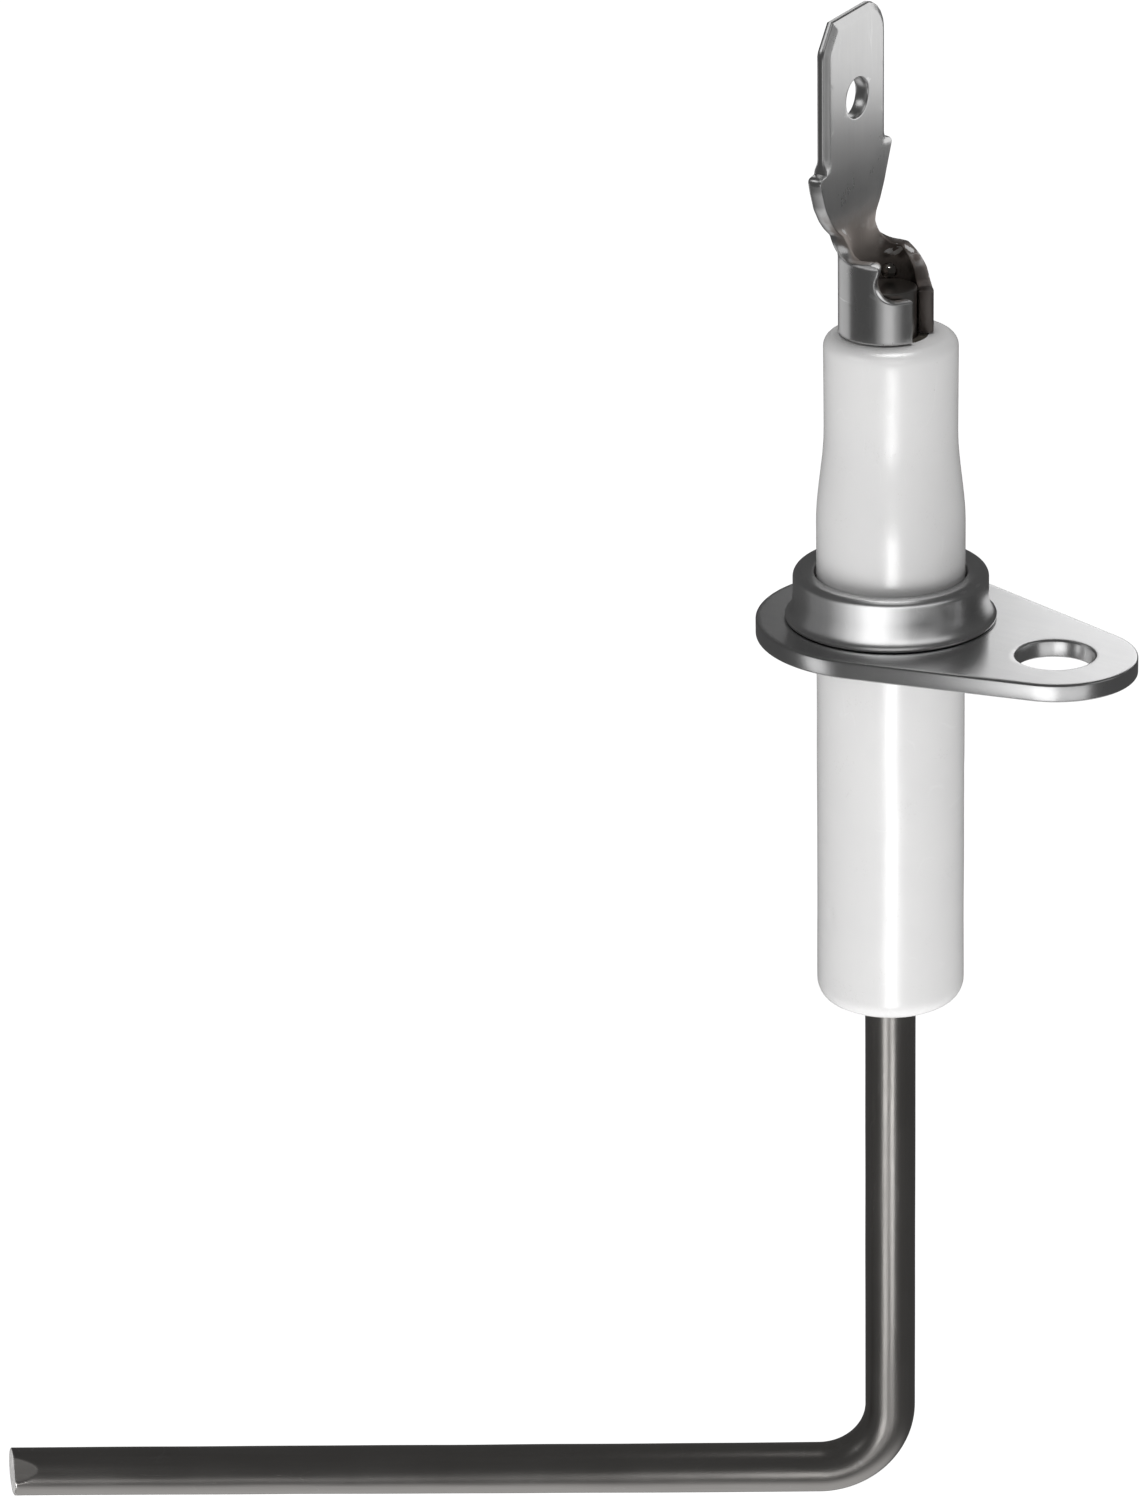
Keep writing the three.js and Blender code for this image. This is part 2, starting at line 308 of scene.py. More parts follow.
@dataclass
class Sheet:
    """A node tree that is being written."""

    tree: Tree

    def node(self, kind: str, settings: dict[str, Any] | None = None, **inputs: Any) -> bpy.types.Node:
        """Adds a node, and sets or joins its inputs.

        Args:
            kind: the node's type, without its ShaderNode prefix.
            settings: the node's own properties.
            inputs: values or sockets by input name, with _ for a space.

        Returns:
            The node.
        """
        made = self.tree.nodes.new(kind if kind.startswith("NodeGroup") else "ShaderNode" + kind)
        for key, value in (settings or {}).items():
            setattr(made, key, value)
        for key, value in inputs.items():
            self.feed(made.inputs[key.replace("_", " ")], value)
        return made

    def feed(self, socket: Socket, value: Any) -> None:
        """Joins the socket to another, or sets its value."""
        if isinstance(value, Socket):
            self.tree.links.new(value, socket)
        else:
            socket.default_value = value

    def math(self, operation: str, first: Any, second: Any = 0.0, clamp: bool = False) -> Socket:
        """The result of a Math node on two values or sockets."""
        made = self.tree.nodes.new("ShaderNodeMath")
        made.operation = operation
        made.use_clamp = clamp
        self.feed(made.inputs[0], first)
        self.feed(made.inputs[1], second)
        return made.outputs[0]

    def plus(self, first: Any, second: Any) -> Socket:
        """The sum of two values or sockets."""
        return self.math("ADD", first, second)

    def minus(self, first: Any, second: Any) -> Socket:
        """The first value or socket less the second."""
        return self.math("SUBTRACT", first, second)

    def times(self, first: Any, second: Any) -> Socket:
        """The product of two values or sockets."""
        return self.math("MULTIPLY", first, second)

    def total(self, weights: tuple[float, ...], *parts: Socket) -> Socket:
        """The sum of the sockets, each times its weight."""
        return reduce(self.plus, [self.times(part, weight) for part, weight in zip(parts, weights)])

    def spread(self, value: Any, low: Any, high: Any, start: Any = 0.0, end: Any = 1.0) -> Socket:
        """A value from low to high laid smoothly over start to end, and held there."""
        made = self.tree.nodes.new("ShaderNodeMapRange")
        made.interpolation_type = "SMOOTHSTEP"
        sockets = ("Value", "From Min", "From Max", "To Min", "To Max")
        for key, number in zip(sockets, (value, low, high, start, end)):
            self.feed(made.inputs[key], number)
        return made.outputs["Result"]

    def noise(self, where: Any, scale: Any, detail: float, **more: float) -> Socket:
        """Noise over the coordinates, mostly near a half."""
        return self.node("TexNoise", Vector=where, Scale=scale, Detail=detail, **more).outputs[0]

    def blend(self, factor: Any, first: Any, second: Any) -> Socket:
        """Two colours mixed by factor."""
        made = self.tree.nodes.new("ShaderNodeMix")
        made.data_type = "RGBA"
        self.feed(made.inputs["Factor"], factor)
        for key, value in (("A", first), ("B", second)):
            socket = next(s for s in made.inputs if s.name == key and s.type == "RGBA")
            self.feed(socket, value if isinstance(value, Socket) else (*value, 1.0))
        return next(s for s in made.outputs if s.type == "RGBA")

    def tinted(self, colour: Any, mask: Any, strength: float, tint: Colour) -> Socket:
        """The colour moved towards the tint by the mask times a strength."""
        return self.blend(self.times(mask, strength), colour, tint)

    def group(self, tree: Tree, **inputs: Any) -> list[Socket]:
        """Places a shared effect with its own values, and gives its outputs in order."""
        made = self.tree.nodes.new("ShaderNodeGroup")
        made.node_tree = tree
        for key, value in inputs.items():
            self.feed(made.inputs[key], value)
        return list(made.outputs)

    def coat(self, shader: bpy.types.Node, colour: Any, roughness: Any, height: Any, depth: float) -> None:
        """Joins the pattern to a shader.

        Args:
            shader: the Principled shader.
            colour: its base colour.
            roughness: its roughness.
            height: the relief, as a share of depth.
            depth: the relief's depth in millimetres.
        """
        self.feed(shader.inputs["Base Color"], colour)
        self.feed(shader.inputs["Roughness"], roughness)
        bump = self.node("Bump", Strength=1.0, Distance=depth * MM, Height=height)
        self.feed(shader.inputs["Normal"], bump.outputs[0])


def effect(name: str, outputs: tuple[str, ...], **inputs: float | None) -> tuple[Sheet, Any, Any]:
    """Starts a shader node group that is given a Vector and more named values.

    Args:
        name: the group's name.
        outputs: names of its float outputs.
        inputs: first value by name of the further inputs, or None for a vector.

    Returns:
        The sheet, the group's input node and its output node.
    """
    tree = bpy.data.node_groups.new(name, "ShaderNodeTree")
    for key, value in {"Vector": None, **inputs}.items():
        kind = "NodeSocketVector" if value is None else "NodeSocketFloat"
        socket = tree.interface.new_socket(key, in_out="INPUT", socket_type=kind)
        if value is not None:
            socket.default_value = value
    for key in outputs:
        tree.interface.new_socket(key, in_out="OUTPUT", socket_type="NodeSocketFloat")
    sheet = Sheet(tree)
    return sheet, sheet.node("NodeGroupInput"), sheet.node("NodeGroupOutput")


@dataclass(frozen=True)
class Effects:
    """The shared effects, each a node group that puts out masks over the surface."""

    grain: Tree
    mottling: Tree
    pits: Tree
    wear: Tree
    marks: Tree

    @staticmethod
    def build() -> "Effects":
        """Builds every group once."""
        return Effects(
            Effects.grain_group(),
            Effects.mottling_group(),
            Effects.pits_group(),
            Effects.wear_group(),
            Effects.marks_group(),
        )

    @staticmethod
    def grain_group() -> Tree:
        """Fine lines of a drawn or rolled metal: two layers of stretched noise, coarse and fine."""
        sheet, given, out = effect("drawn_grain", ("Lines", "Fine"), Stretch=None)
        stretched = sheet.node("VectorMath", {"operation": "MULTIPLY"})
        sheet.feed(stretched.inputs[0], given.outputs["Vector"])
        sheet.feed(stretched.inputs[1], given.outputs["Stretch"])
        coarse = sheet.noise(stretched.outputs[0], scale=1.0, detail=3.0, Roughness=0.6)
        fine = sheet.noise(stretched.outputs[0], scale=4.1, detail=2.0, Roughness=0.7)
        sheet.feed(out.inputs["Lines"], sheet.spread(coarse, low=0.3, high=0.7))
        sheet.feed(out.inputs["Fine"], fine)
        return sheet.tree

    @staticmethod
    def mottling_group() -> Tree:
        """Soft clouds of two sizes, as in fired clay, oxide or a dull plating."""
        sheet, given, out = effect("mottling", ("Clouds", "Patches"), Scale=300.0)
        where, scale = given.outputs["Vector"], given.outputs["Scale"]
        large = sheet.noise(where, scale=scale, detail=4.0)
        small = sheet.noise(where, scale=sheet.times(scale, 3.7), detail=5.0)
        sheet.feed(out.inputs["Clouds"], sheet.spread(large, low=0.25, high=0.75))
        sheet.feed(out.inputs["Patches"], sheet.spread(small, low=0.2, high=0.8))
        return sheet.tree

    @staticmethod
    def pits_group() -> Tree:
        """Scattered small spots: cells whose distance to their centre is under a share that varies."""
        sheet, given, out = effect("pits", ("Spots",), Scale=2000.0, Size=0.2)
        where, scale = given.outputs["Vector"], given.outputs["Scale"]
        cells = sheet.node("TexVoronoi", Vector=where, Scale=scale)
        sparse = sheet.noise(where, scale=sheet.times(scale, 0.11), detail=1.0)
        reach = sheet.times(given.outputs["Size"], sheet.spread(sparse, low=0.45, high=0.75))
        inside = sheet.minus(reach, cells.outputs["Distance"])
        sheet.feed(out.inputs["Spots"], sheet.spread(inside, low=0.0, high=0.06))
        return sheet.tree

    @staticmethod
    def wear_group() -> Tree:
        """Edge wear: where the surface is sharply convex, broken up by noise."""
        sheet, given, out = effect("edge_wear", ("Worn",), Start=0.55)
        shape = sheet.node("NewGeometry")
        broken = sheet.noise(given.outputs["Vector"], scale=1500.0, detail=3.0)
        uneven = sheet.times(sheet.minus(broken, 0.5), 0.12)
        edge = sheet.plus(shape.outputs["Pointiness"], uneven)
        full = sheet.plus(given.outputs["Start"], 0.06)
        sheet.feed(out.inputs["Worn"], sheet.spread(edge, low=given.outputs["Start"], high=full))
        return sheet.tree

    @staticmethod
    def marks_group() -> Tree:
        """Hairline handling scratches: the thin middle lines of a warped, stretched noise."""
        sheet, given, out = effect("handling_marks", ("Scratches",), Width=0.006)
        where = given.outputs["Vector"]
        askew = sheet.node("Mapping", Vector=where, Rotation=(0.4, 0.7, 0.5), Scale=(900, 90, 300))
        noise = sheet.noise(askew.outputs[0], scale=1.0, detail=1.5, Distortion=0.3)
        line = sheet.math("ABSOLUTE", sheet.minus(noise, 0.5))
        held = sheet.spread(sheet.noise(where, scale=420.0, detail=1.0), low=0.5, high=0.62)
        near = sheet.minus(1.0, sheet.math("DIVIDE", line, given.outputs["Width"], clamp=True))
        sheet.feed(out.inputs["Scratches"], sheet.times(near, held))
        return sheet.tree


@dataclass(frozen=True)
class Finish:
    """What every finish has: a name, and a new material with its shader and pattern coordinates."""

    name: str

    def started(self, space: Space) -> tuple[Material, Sheet, bpy.types.Node, Socket]:
        """Makes an empty material.

        Args:
            space: where the pattern's coordinates come from.

        Returns:
            The material, its sheet, its Principled shader and the coordinates.
        """
        material = bpy.data.materials.new(self.name)
        material.use_nodes = True
        sheet = Sheet(material.node_tree)
        shader = material.node_tree.nodes["Principled BSDF"]
        if space is Space.STOCK:
            where = sheet.node("Attribute", {"attribute_name": UNBENT}).outputs["Vector"]
        else:
            where = sheet.node("TexCoord").outputs["Object"]
        return material, sheet, shader, where


@dataclass(frozen=True)
class TintOrPaintedShade:
    """A tint whose share is the product of its ramps.

    A ramp is a direction in the pattern's space, and the places in millimetres where it starts and is full.
    It serves for real colours, such as bare cut metal, and for painted shade, such as the tab's.
    """

    colour: Colour
    ramps: tuple[tuple[Point, float, float], ...]
    strength: float = 1.0
    rough: float = 0.5
    border: float = 0.5

    def share(self, sheet: Sheet, where: Any, uneven: Any) -> Socket:
        """Works out how much of the tint lies at each place.

        Args:
            sheet: the material's sheet.
            where: the pattern's coordinates.
            uneven: a mask that breaks up the tint's border.

        Returns:
            The share, from 0 to the tint's strength.
        """
        shift = sheet.times(sheet.minus(uneven, 0.5), self.border * MM)
        share: Any = self.strength
        for direction, start, end in self.ramps:
            place = sheet.node("VectorMath", {"operation": "DOT_PRODUCT"})
            sheet.feed(place.inputs[0], where)
            sheet.feed(place.inputs[1], direction)
            reach = sheet.plus(place.outputs["Value"], shift)
            share = sheet.times(share, sheet.spread(reach, start * MM, end * MM))
        return share


@dataclass(frozen=True)
class Metal(Finish):
    """A drawn, rolled or plated metal with lines, clouds, worn edges and hairline scratches."""

    dark: Colour = (0.3, 0.3, 0.3)
    light: Colour = (0.6, 0.6, 0.6)
    worn: Colour = (0.8, 0.8, 0.8)
    stretch: Point = (3000.0, 3000.0, 120.0)
    cloud_scale: float = 350.0
    smooth: float = 0.2
    rough: float = 0.35
    line_depth: float = 0.004
    wear_start: float = 0.56
    space: Space = Space.OBJECT
    tints_and_painted_shade: tuple[TintOrPaintedShade, ...] = ()
    pit_scale: float = 2600.0
    pit_size: float = 0.16
    pit_tint: float = 0.4
    wear_tint: float = 0.75
    mark_tint: float = 0.35
    tone_weights: tuple[float, ...] = (0.5, 0.5)
    gloss_weights: tuple[float, ...] = (0.3, 0.4, 0.6)
    relief_weights: tuple[float, ...] = (1.0, 0.5, -0.6, -1.0)

    def build(self, effects: Effects) -> Material:
        """Builds the material.

        Args:
            effects: the shared node groups.

        Returns:
            The material.
        """
        material, sheet, shader, where = self.started(self.space)
        lines, fine = sheet.group(effects.grain, Vector=where, Stretch=self.stretch)
        clouds, patches = sheet.group(effects.mottling, Vector=where, Scale=self.cloud_scale)
        (worn,) = sheet.group(effects.wear, Vector=where, Start=self.wear_start)
        (scratches,) = sheet.group(effects.marks, Vector=where)
        (spots,) = sheet.group(effects.pits, Vector=where, Scale=self.pit_scale, Size=self.pit_size)
        colour = sheet.blend(sheet.total(self.tone_weights, lines, clouds), self.dark, self.light)
        gloss = sheet.total(self.gloss_weights, patches, clouds, fine)
        roughness = sheet.spread(gloss, 0.0, sum(self.gloss_weights), self.smooth, self.rough)
        # These tints carry real colours such as bare cut metal, and also painted shade laid into the colour,
        # as on the tab.
        for tint_or_shade in self.tints_and_painted_shade:
            share = tint_or_shade.share(sheet, where, patches)
            colour = sheet.blend(share, colour, tint_or_shade.colour)
            roughness = sheet.plus(roughness, sheet.times(sheet.minus(tint_or_shade.rough, roughness), share))
        colour = sheet.tinted(colour, spots, self.pit_tint, self.dark)
        colour = sheet.tinted(colour, worn, self.wear_tint, self.worn)
        colour = sheet.tinted(colour, scratches, self.mark_tint, self.worn)
        height = sheet.total(self.relief_weights, lines, fine, spots, scratches)
        sheet.coat(shader, colour, roughness, height, self.line_depth)
        shader.inputs["Metallic"].default_value = 1.0
        return material


@dataclass(frozen=True)
class Alumina(Finish):
    """Dense white oxide ceramic: soft clouds, faint specks, shallow scuffs and a fine bloom on the gloss."""

    dark: Colour = (0.79, 0.785, 0.785)
    light: Colour = (0.815, 0.81, 0.805)
    speck: Colour = (0.42, 0.40, 0.38)
    scuff: Colour = (0.90, 0.90, 0.90)
    smooth: float = 0.2
    rough: float = 0.27
    index: float = 1.76
    cloud_scale: float = 240.0
    speck_scale: float = 1500.0
    speck_size: float = 0.13
    speck_tint: float = 0.22
    pore_scale: float = 5200.0
    pore_size: float = 0.3
    pore_tint: float = 0.07
    scuff_width: float = 0.012
    scuff_tint: float = 0.25
    stretch: Point = (5200.0, 5200.0, 3600.0)
    relief: float = 0.006
    tone_range: Pair = (0.1, 0.9)
    tone_weights: tuple[float, ...] = (0.6, 0.4)
    relief_weights: tuple[float, ...] = (1.0, 0.6, -1.0)

    def build(self, effects: Effects) -> Material:
        """Builds the material.

        Args:
            effects: the shared node groups.

        Returns:
            The material.
        """
        material, sheet, shader, where = self.started(Space.OBJECT)
        clouds, patches = sheet.group(effects.mottling, Vector=where, Scale=self.cloud_scale)
        (specks,) = sheet.group(effects.pits, Vector=where, Scale=self.speck_scale, Size=self.speck_size)
        (pores,) = sheet.group(effects.pits, Vector=where, Scale=self.pore_scale, Size=self.pore_size)
        (scratches,) = sheet.group(effects.marks, Vector=where, Width=self.scuff_width)
        _, fine = sheet.group(effects.grain, Vector=where, Stretch=self.stretch)
        tone = sheet.total(self.tone_weights, clouds, patches)
        colour = sheet.blend(tone, self.dark, self.light)
        colour = sheet.tinted(colour, scratches, self.scuff_tint, self.scuff)
        colour = sheet.tinted(colour, pores, self.pore_tint, self.speck)
        colour = sheet.tinted(colour, specks, self.speck_tint, self.speck)
        roughness = sheet.spread(tone, *self.tone_range, self.smooth, self.rough)
        height = sheet.total(self.relief_weights, fine, patches, pores)
        sheet.coat(shader, colour, roughness, height, self.relief)
        shader.inputs["IOR"].default_value = self.index
        return material


@dataclass(frozen=True)
class Granular(Finish):
    """Cement or packed powder: a dull crumbly surface of grains and pores."""

    dark: Colour = (0.35, 0.32, 0.27)
    light: Colour = (0.62, 0.58, 0.50)
    grain_scale: float = 3800.0
    cloud_scale: float = 900.0
    pore_size: float = 0.45
    pore_tint: float = 0.6
    full_tone: float = 0.5
    smooth: float = 0.8
    rough: float = 0.95
    relief: float = 0.05

    def build(self, effects: Effects) -> Material:
        """Builds the material.

        Args:
            effects: the shared node groups.

        Returns:
            The material.
        """
        material, sheet, shader, where = self.started(Space.OBJECT)
        _, patches = sheet.group(effects.mottling, Vector=where, Scale=self.cloud_scale)
        (pores,) = sheet.group(effects.pits, Vector=where, Scale=self.grain_scale, Size=self.pore_size)
        crumbs = sheet.node("TexVoronoi", Vector=where, Scale=self.grain_scale).outputs["Distance"]
        tone = sheet.times(patches, crumbs)
        colour = sheet.blend(sheet.spread(tone, 0.0, self.full_tone), self.light, self.dark)
        colour = sheet.tinted(colour, pores, self.pore_tint, self.dark)
        roughness = sheet.spread(tone, 0.0, self.full_tone, self.smooth, self.rough)
        sheet.coat(shader, colour, roughness, sheet.minus(crumbs, pores), self.relief)
        return material


# ------------------------------------------------------------ ceramic


@dataclass
class CeramicInsulator:
    """The pressed and fired tube: plain lower end, narrower neck, soft rims, and a bore with wide mouths.

    The wall narrows over the heights in flare. A dent is its angle in degrees, its height and its depth.
    """

    top: float = 17.0
    bottom: float = -21.2
    radius: float = 4.0
    neck_radius: float = 3.6
    bore_radius: float = 1.65
    mouth_radius: float = 2.0
    mouth_depth: float = 3.0
    flare: Pair = (6.4, 11.6)
    top_edge: float = 0.7
    foot_edge: Pair = (0.9, 1.1)
    unevenness: float = 0.03
    unevenness_rest: float = 0.4
    dent_width: float = 0.3
    dent_height: float = 0.45
    fade: Pair = (0.3, 1.2)
    columns: int = 160
    wall_steps: int = 99
    edge_steps: int = 9
    dents: tuple[Point, ...] = (
        (-75.0, 9.6, 0.05),
        (-72.0, 8.9, 0.04),
        (-80.0, 6.3, 0.03),
        (110.0, 12.4, 0.05),
        (30.0, -8.0, 0.04),
        (-110.0, -15.5, 0.04),
        (175.0, 4.0, 0.05),
    )

    def profile(self) -> Array:
        """The closed outline: rounded foot, wall with a smooth flare, rounded top, mouths and bore."""
        width, height = self.foot_edge
        level = np.linspace(self.bottom + height, self.top - self.top_edge, self.wall_steps + 1)
        narrowing = smoothstep(*self.flare, level)
        wall = np.column_stack([self.radius + (self.neck_radius - self.radius) * narrowing, level])
        foot = arc((self.radius - width, self.bottom + height), self.foot_edge, -90, 0, self.edge_steps)
        brow_centre = (self.neck_radius - self.top_edge, self.top - self.top_edge)
        brow = arc(brow_centre, (self.top_edge,) * 2, 0, 90, self.edge_steps)
        upper_step, lower_step = self.top - self.mouth_depth, self.bottom + self.mouth_depth
        inside = [
            [self.mouth_radius, self.top],
            [self.mouth_radius, upper_step],
            [self.bore_radius, upper_step],
            [self.bore_radius, lower_step],
            [self.mouth_radius, lower_step],
            [self.mouth_radius, self.bottom],
        ]
        return np.vstack([foot, wall[1:-1], brow, np.array(inside)])

    def uneven(self, grid: Array) -> Array:
        """Moves the wall in or out along its radius: a ripple, less each dent's bell e^-(d/size)^2.

        All of it fades in over the distances from the mouth that fade gives, so the bore stays true.
        """
        x, y, z = grid[..., 0], grid[..., 1], grid[..., 2]
        radius = np.hypot(x, y)
        turn = np.arctan2(y, x)
        change = self.unevenness * (ripple(turn, z, seed=4) - self.unevenness_rest)
        for angle, level, depth in self.dents:
            side = self.radius * np.angle(np.exp(1j * (turn - math.radians(angle))))
            off = (side / self.dent_width) ** 2 + ((z - level) / self.dent_height) ** 2
            change = change - depth * np.exp(-off)
        change = change * smoothstep(*self.fade, radius - self.mouth_radius)
        share = 1.0 + change / radius
        return np.stack([x * share, y * share, z], axis=-1)

    def build(self, material: Material) -> None:
        """Makes the tube and places it."""
        shell = Shell("alumina_tube")
        shell.add(self.uneven(turned(self.profile(), self.columns)), wrap_rows=True, wrap_columns=True)
        placed(shell.made(sharp=50), "ceramic_insulator", material)


# ------------------------------------------------------------ wire


@dataclass
class ElectrodeWire:
    """The round resistance wire, bent once to a level leg whose end was cut with pliers."""

    radius: float = 1.4
    top: float = 19.6
    leg_height: float = -50.3
    leg_reach: float = 49.72
    leg_lift: float = 0.14
    tip_radius: float = 1.36
    bend: float = 4.0
    leg_turn: float = 215.2
    end_round: float = 0.09
    end_slant: float = -0.08
    side_slant: float = 0.62
    shear_length: float = 1.9
    shear_depth: float = 0.3
    shear_way: Pair = (0.5, 0.86)
    slant_length: float = 3.0
    fine_length: float = 3.2
    unevenness: float = 0.012
    uneven_pitch: float = 0.8
    columns: int = 64
    end_steps: int = 5
    stretch_steps: tuple[int, ...] = (60, 40, 44, 30)
    cap_rings: int = 8

    def length(self) -> float:
        """The centre line's length: the upright, the quarter turn and the leg."""
        upright = self.top - self.leg_height - self.bend
        return upright + self.bend * math.pi / 2 + self.leg_reach - self.bend

    def cut_level(self) -> float:
        """Where the slanted cut crosses the centre line, as a distance along the wire."""
        return self.length() - (self.end_slant + self.side_slant) / 2.0

    def stations(self) -> tuple[Array, Array]:
        """Distances along the wire and the end inset there: close together in the bend and at both ends."""
        bend_start = self.top - self.leg_height - self.bend
        bend_end = bend_start + self.bend * math.pi / 2
        length = self.length()
        crown = arc((0.0, 0.0), (self.end_round,) * 2, 90, 0, self.end_steps)
        stops = (self.end_round, bend_start, bend_end, length - self.fine_length, length - self.end_round)
        stretches = zip(stops[:-1], stops[1:], self.stretch_steps)
        plain = [np.linspace(start, end, steps)[1:] for start, end, steps in stretches]
        middle = np.concatenate([stops[:1], *plain])
        near = self.end_round - crown[:, 1]
        along = np.concatenate([near[:-1], middle, (length - near[:-1])[::-1]])
        inset = np.concatenate([(self.end_round - crown[:-1, 0]), np.zeros(len(middle))])
        inset = np.concatenate([inset, (self.end_round - crown[:-1, 0])[::-1]])
        return along, inset

    def bent(self, straight: Array) -> Array:
        """Bends straight stock, (across, side, along): the upright, then the quarter turn, then the leg.

        In the bend, angle = (along - start) / bend radius, and a point `across` from the centre line lies
        at bend radius - across from the bend's centre.
        """
        across, side, along = straight[..., 0], straight[..., 1], straight[..., 2]
        start = self.top - self.leg_height - self.bend
        angle = np.clip((along - start) / self.bend, 0.0, math.pi / 2)
        over = np.maximum(along - start - self.bend * math.pi / 2, 0.0)
        under = np.minimum(along, start)
        arm = self.bend - across
        outward = self.bend - arm * np.cos(angle) + over
        lift = self.leg_lift * smoothstep(0.0, self.leg_reach, over)
        height = self.top - under - arm * np.sin(angle) + lift
        turn = math.radians(self.leg_turn)
        x = outward * math.cos(turn) - side * math.sin(turn)
        y = outward * math.sin(turn) + side * math.cos(turn)
        return np.stack([x, y, height], axis=-1)

    def stock(self) -> Array:
        """The straight wire before bending: circles of radius r - inset, slightly uneven, cut on a slant.

        The far end's stations are pulled back under the wire, and a plane shears a half-moon off its side.
        """
        along, inset = self.stations()
        turn = around(self.columns)
        level = np.repeat(along[:, None], self.columns, axis=1)
        wave = ripple(np.broadcast_to(turn, level.shape), level * self.uneven_pitch, seed=9) - 1.0
        start = self.top - self.leg_height
        taper = (self.radius - self.tip_radius) * smoothstep(start, along[-1], level)
        radius = self.radius - inset[:, None] + self.unevenness * wave - taper
        across = radius * np.cos(turn)
        side = radius * np.sin(turn)
        length = along[-1]
        shear_start = length - self.shear_length
        share = np.clip((level - shear_start) / self.shear_length, 0.0, 1.0)
        shear_across, shear_side = self.shear_way
        limit = self.radius - self.shear_depth * share
        cut = np.maximum(shear_side * side + shear_across * across - limit, 0.0) * (share > 0)
        side = side - shear_side * cut
        across = across - shear_across * cut
        pulled = smoothstep(length - self.slant_length, length, level) / (2.0 * self.radius)
        level = level - pulled * self.end_slant * (self.radius - across)
        level = level - pulled * self.side_slant * (self.radius + side)
        return np.stack([across, side, level], axis=-1)

    def build(self, material: Material) -> None:
        """Makes the wire with closed ends and places it."""
        shell = Shell("resistance_wire")
        stock = self.stock()
        shell.add(self.bent(stock), stock, wrap_columns=True)
        for ring in (stock[0], stock[-1]):
            centre = ring.mean(axis=0)
            share = np.linspace(1.0, 0.0, self.cap_rings)[:, None, None]
            cap = centre + (ring - centre) * share
            shell.add(self.bent(cap), cap, wrap_columns=True)
        placed(shell.made(sharp=35), "electrode_wire", material)


# ------------------------------------------------------------ flange


@dataclass
class MountingFlange:
    """The stamped teardrop plate with the sleeve's hole and the fixing hole."""

    thickness: float = 1.0
    radius: float = 7.255
    ear_radius: float = 4.41
    ear_distance: float = 10.4
    hole_radius: float = 2.125
    sleeve_hole: float = 4.60
    divide: float = 6.45
    edge: float = 0.12
    longest_step: float = 0.25
    rings: int = 14
    body_steps: int = 150
    ear_steps: int = 76
    edge_steps: int = 5
    seam_steps: int = 16

    def outline(self) -> tuple[Array, Array]:
        """The plate's outline, cut in two by the line x = divide: the body's part and the ear's part."""
        touch = math.degrees(math.acos((self.radius - self.ear_radius) / self.ear_distance))
        body = arc((0.0, 0.0), (self.radius,) * 2, touch, 360.0 - touch, self.body_steps)
        ear = arc((self.ear_distance, 0.0), (self.ear_radius,) * 2, -touch, touch, self.ear_steps)
        share = (self.divide - body[0, 0]) / (ear[-1, 0] - body[0, 0])
        cut = body[0] + (ear[-1] - body[0]) * share
        low_cut = cut * np.array([1.0, -1.0])
        parts = (np.vstack([cut, body, low_cut]), np.vstack([low_cut, ear, cut]))
        return densified(parts[0], self.longest_step), densified(parts[1], self.longest_step)

    def wall(self, loop: Array, inward: Array) -> Array:
        """The edge carried along a loop: an arc over the top corner, the wall, and an arc at the bottom.

        At angle t the edge lies edge (1 - cos t) inside the loop, and its height rises by edge sin t.
        """
        over = np.radians(np.linspace(90.0, 0.0, self.edge_steps + 1))
        inset = np.concatenate([self.edge * (1.0 - np.cos(over)), self.edge * (1.0 - np.cos(over[::-1]))])
        top = self.thickness - self.edge + self.edge * np.sin(over)
        height = np.concatenate([top, (self.thickness - top)[::-1]])
        flat = loop[None] + inward[None] * inset[:, None, None]
        level = np.broadcast_to(height[:, None, None], (*flat.shape[:2], 1))
        return np.concatenate([flat, level], axis=2)

    def face(self, loop: Array, centre: Pair, radius: float, height: float) -> Array:
        """A flat ring from a loop to a hole, with points at loop point + share (hole point - loop point)."""
        rim = np.array(centre) + radius * unit(loop - np.array(centre))
        share = np.linspace(0.0, 1.0, self.rings)[:, None, None]
        flat = loop + (rim - loop) * share
        level = np.full((*flat.shape[:2], 1), height)
        return np.concatenate([flat, level], axis=2)

    def build(self, material: Material) -> None:
        """Makes the plate from its outer wall, two hole walls and four flat rings, and places it."""
        shell = Shell("flange_plate")
        body, ear = self.outline()
        loop = np.vstack([body[:-1], ear[:-1]])
        inward = inward_normals(loop)
        shell.add(self.wall(loop, inward), wrap_columns=True)
        inset = loop + inward * self.edge
        body_inset = inset[: len(body) - 1]
        ear_inset = inset[len(body) - 1 :]
        seam = resampled(np.vstack([body_inset[0], ear_inset[0]]), self.seam_steps)
        body_loop = np.vstack([body_inset, seam[::-1][:-1]])
        ear_loop = np.vstack([ear_inset, seam[:-1]])
        holes = (
            (body_loop, (0.0, 0.0), self.sleeve_hole),
            (ear_loop, (self.ear_distance, 0.0), self.hole_radius),
        )
        for ring, centre, radius in holes:
            outward = unit(ring - np.array(centre))
            shell.add(self.wall(np.array(centre) + radius * outward, outward), wrap_columns=True)
            for height in (self.thickness, 0.0):
                shell.add(self.face(ring, centre, radius + self.edge, height), wrap_columns=True)
        placed(shell.made(sharp=60), "mounting_flange", material)


# ------------------------------------------------------------ sleeve


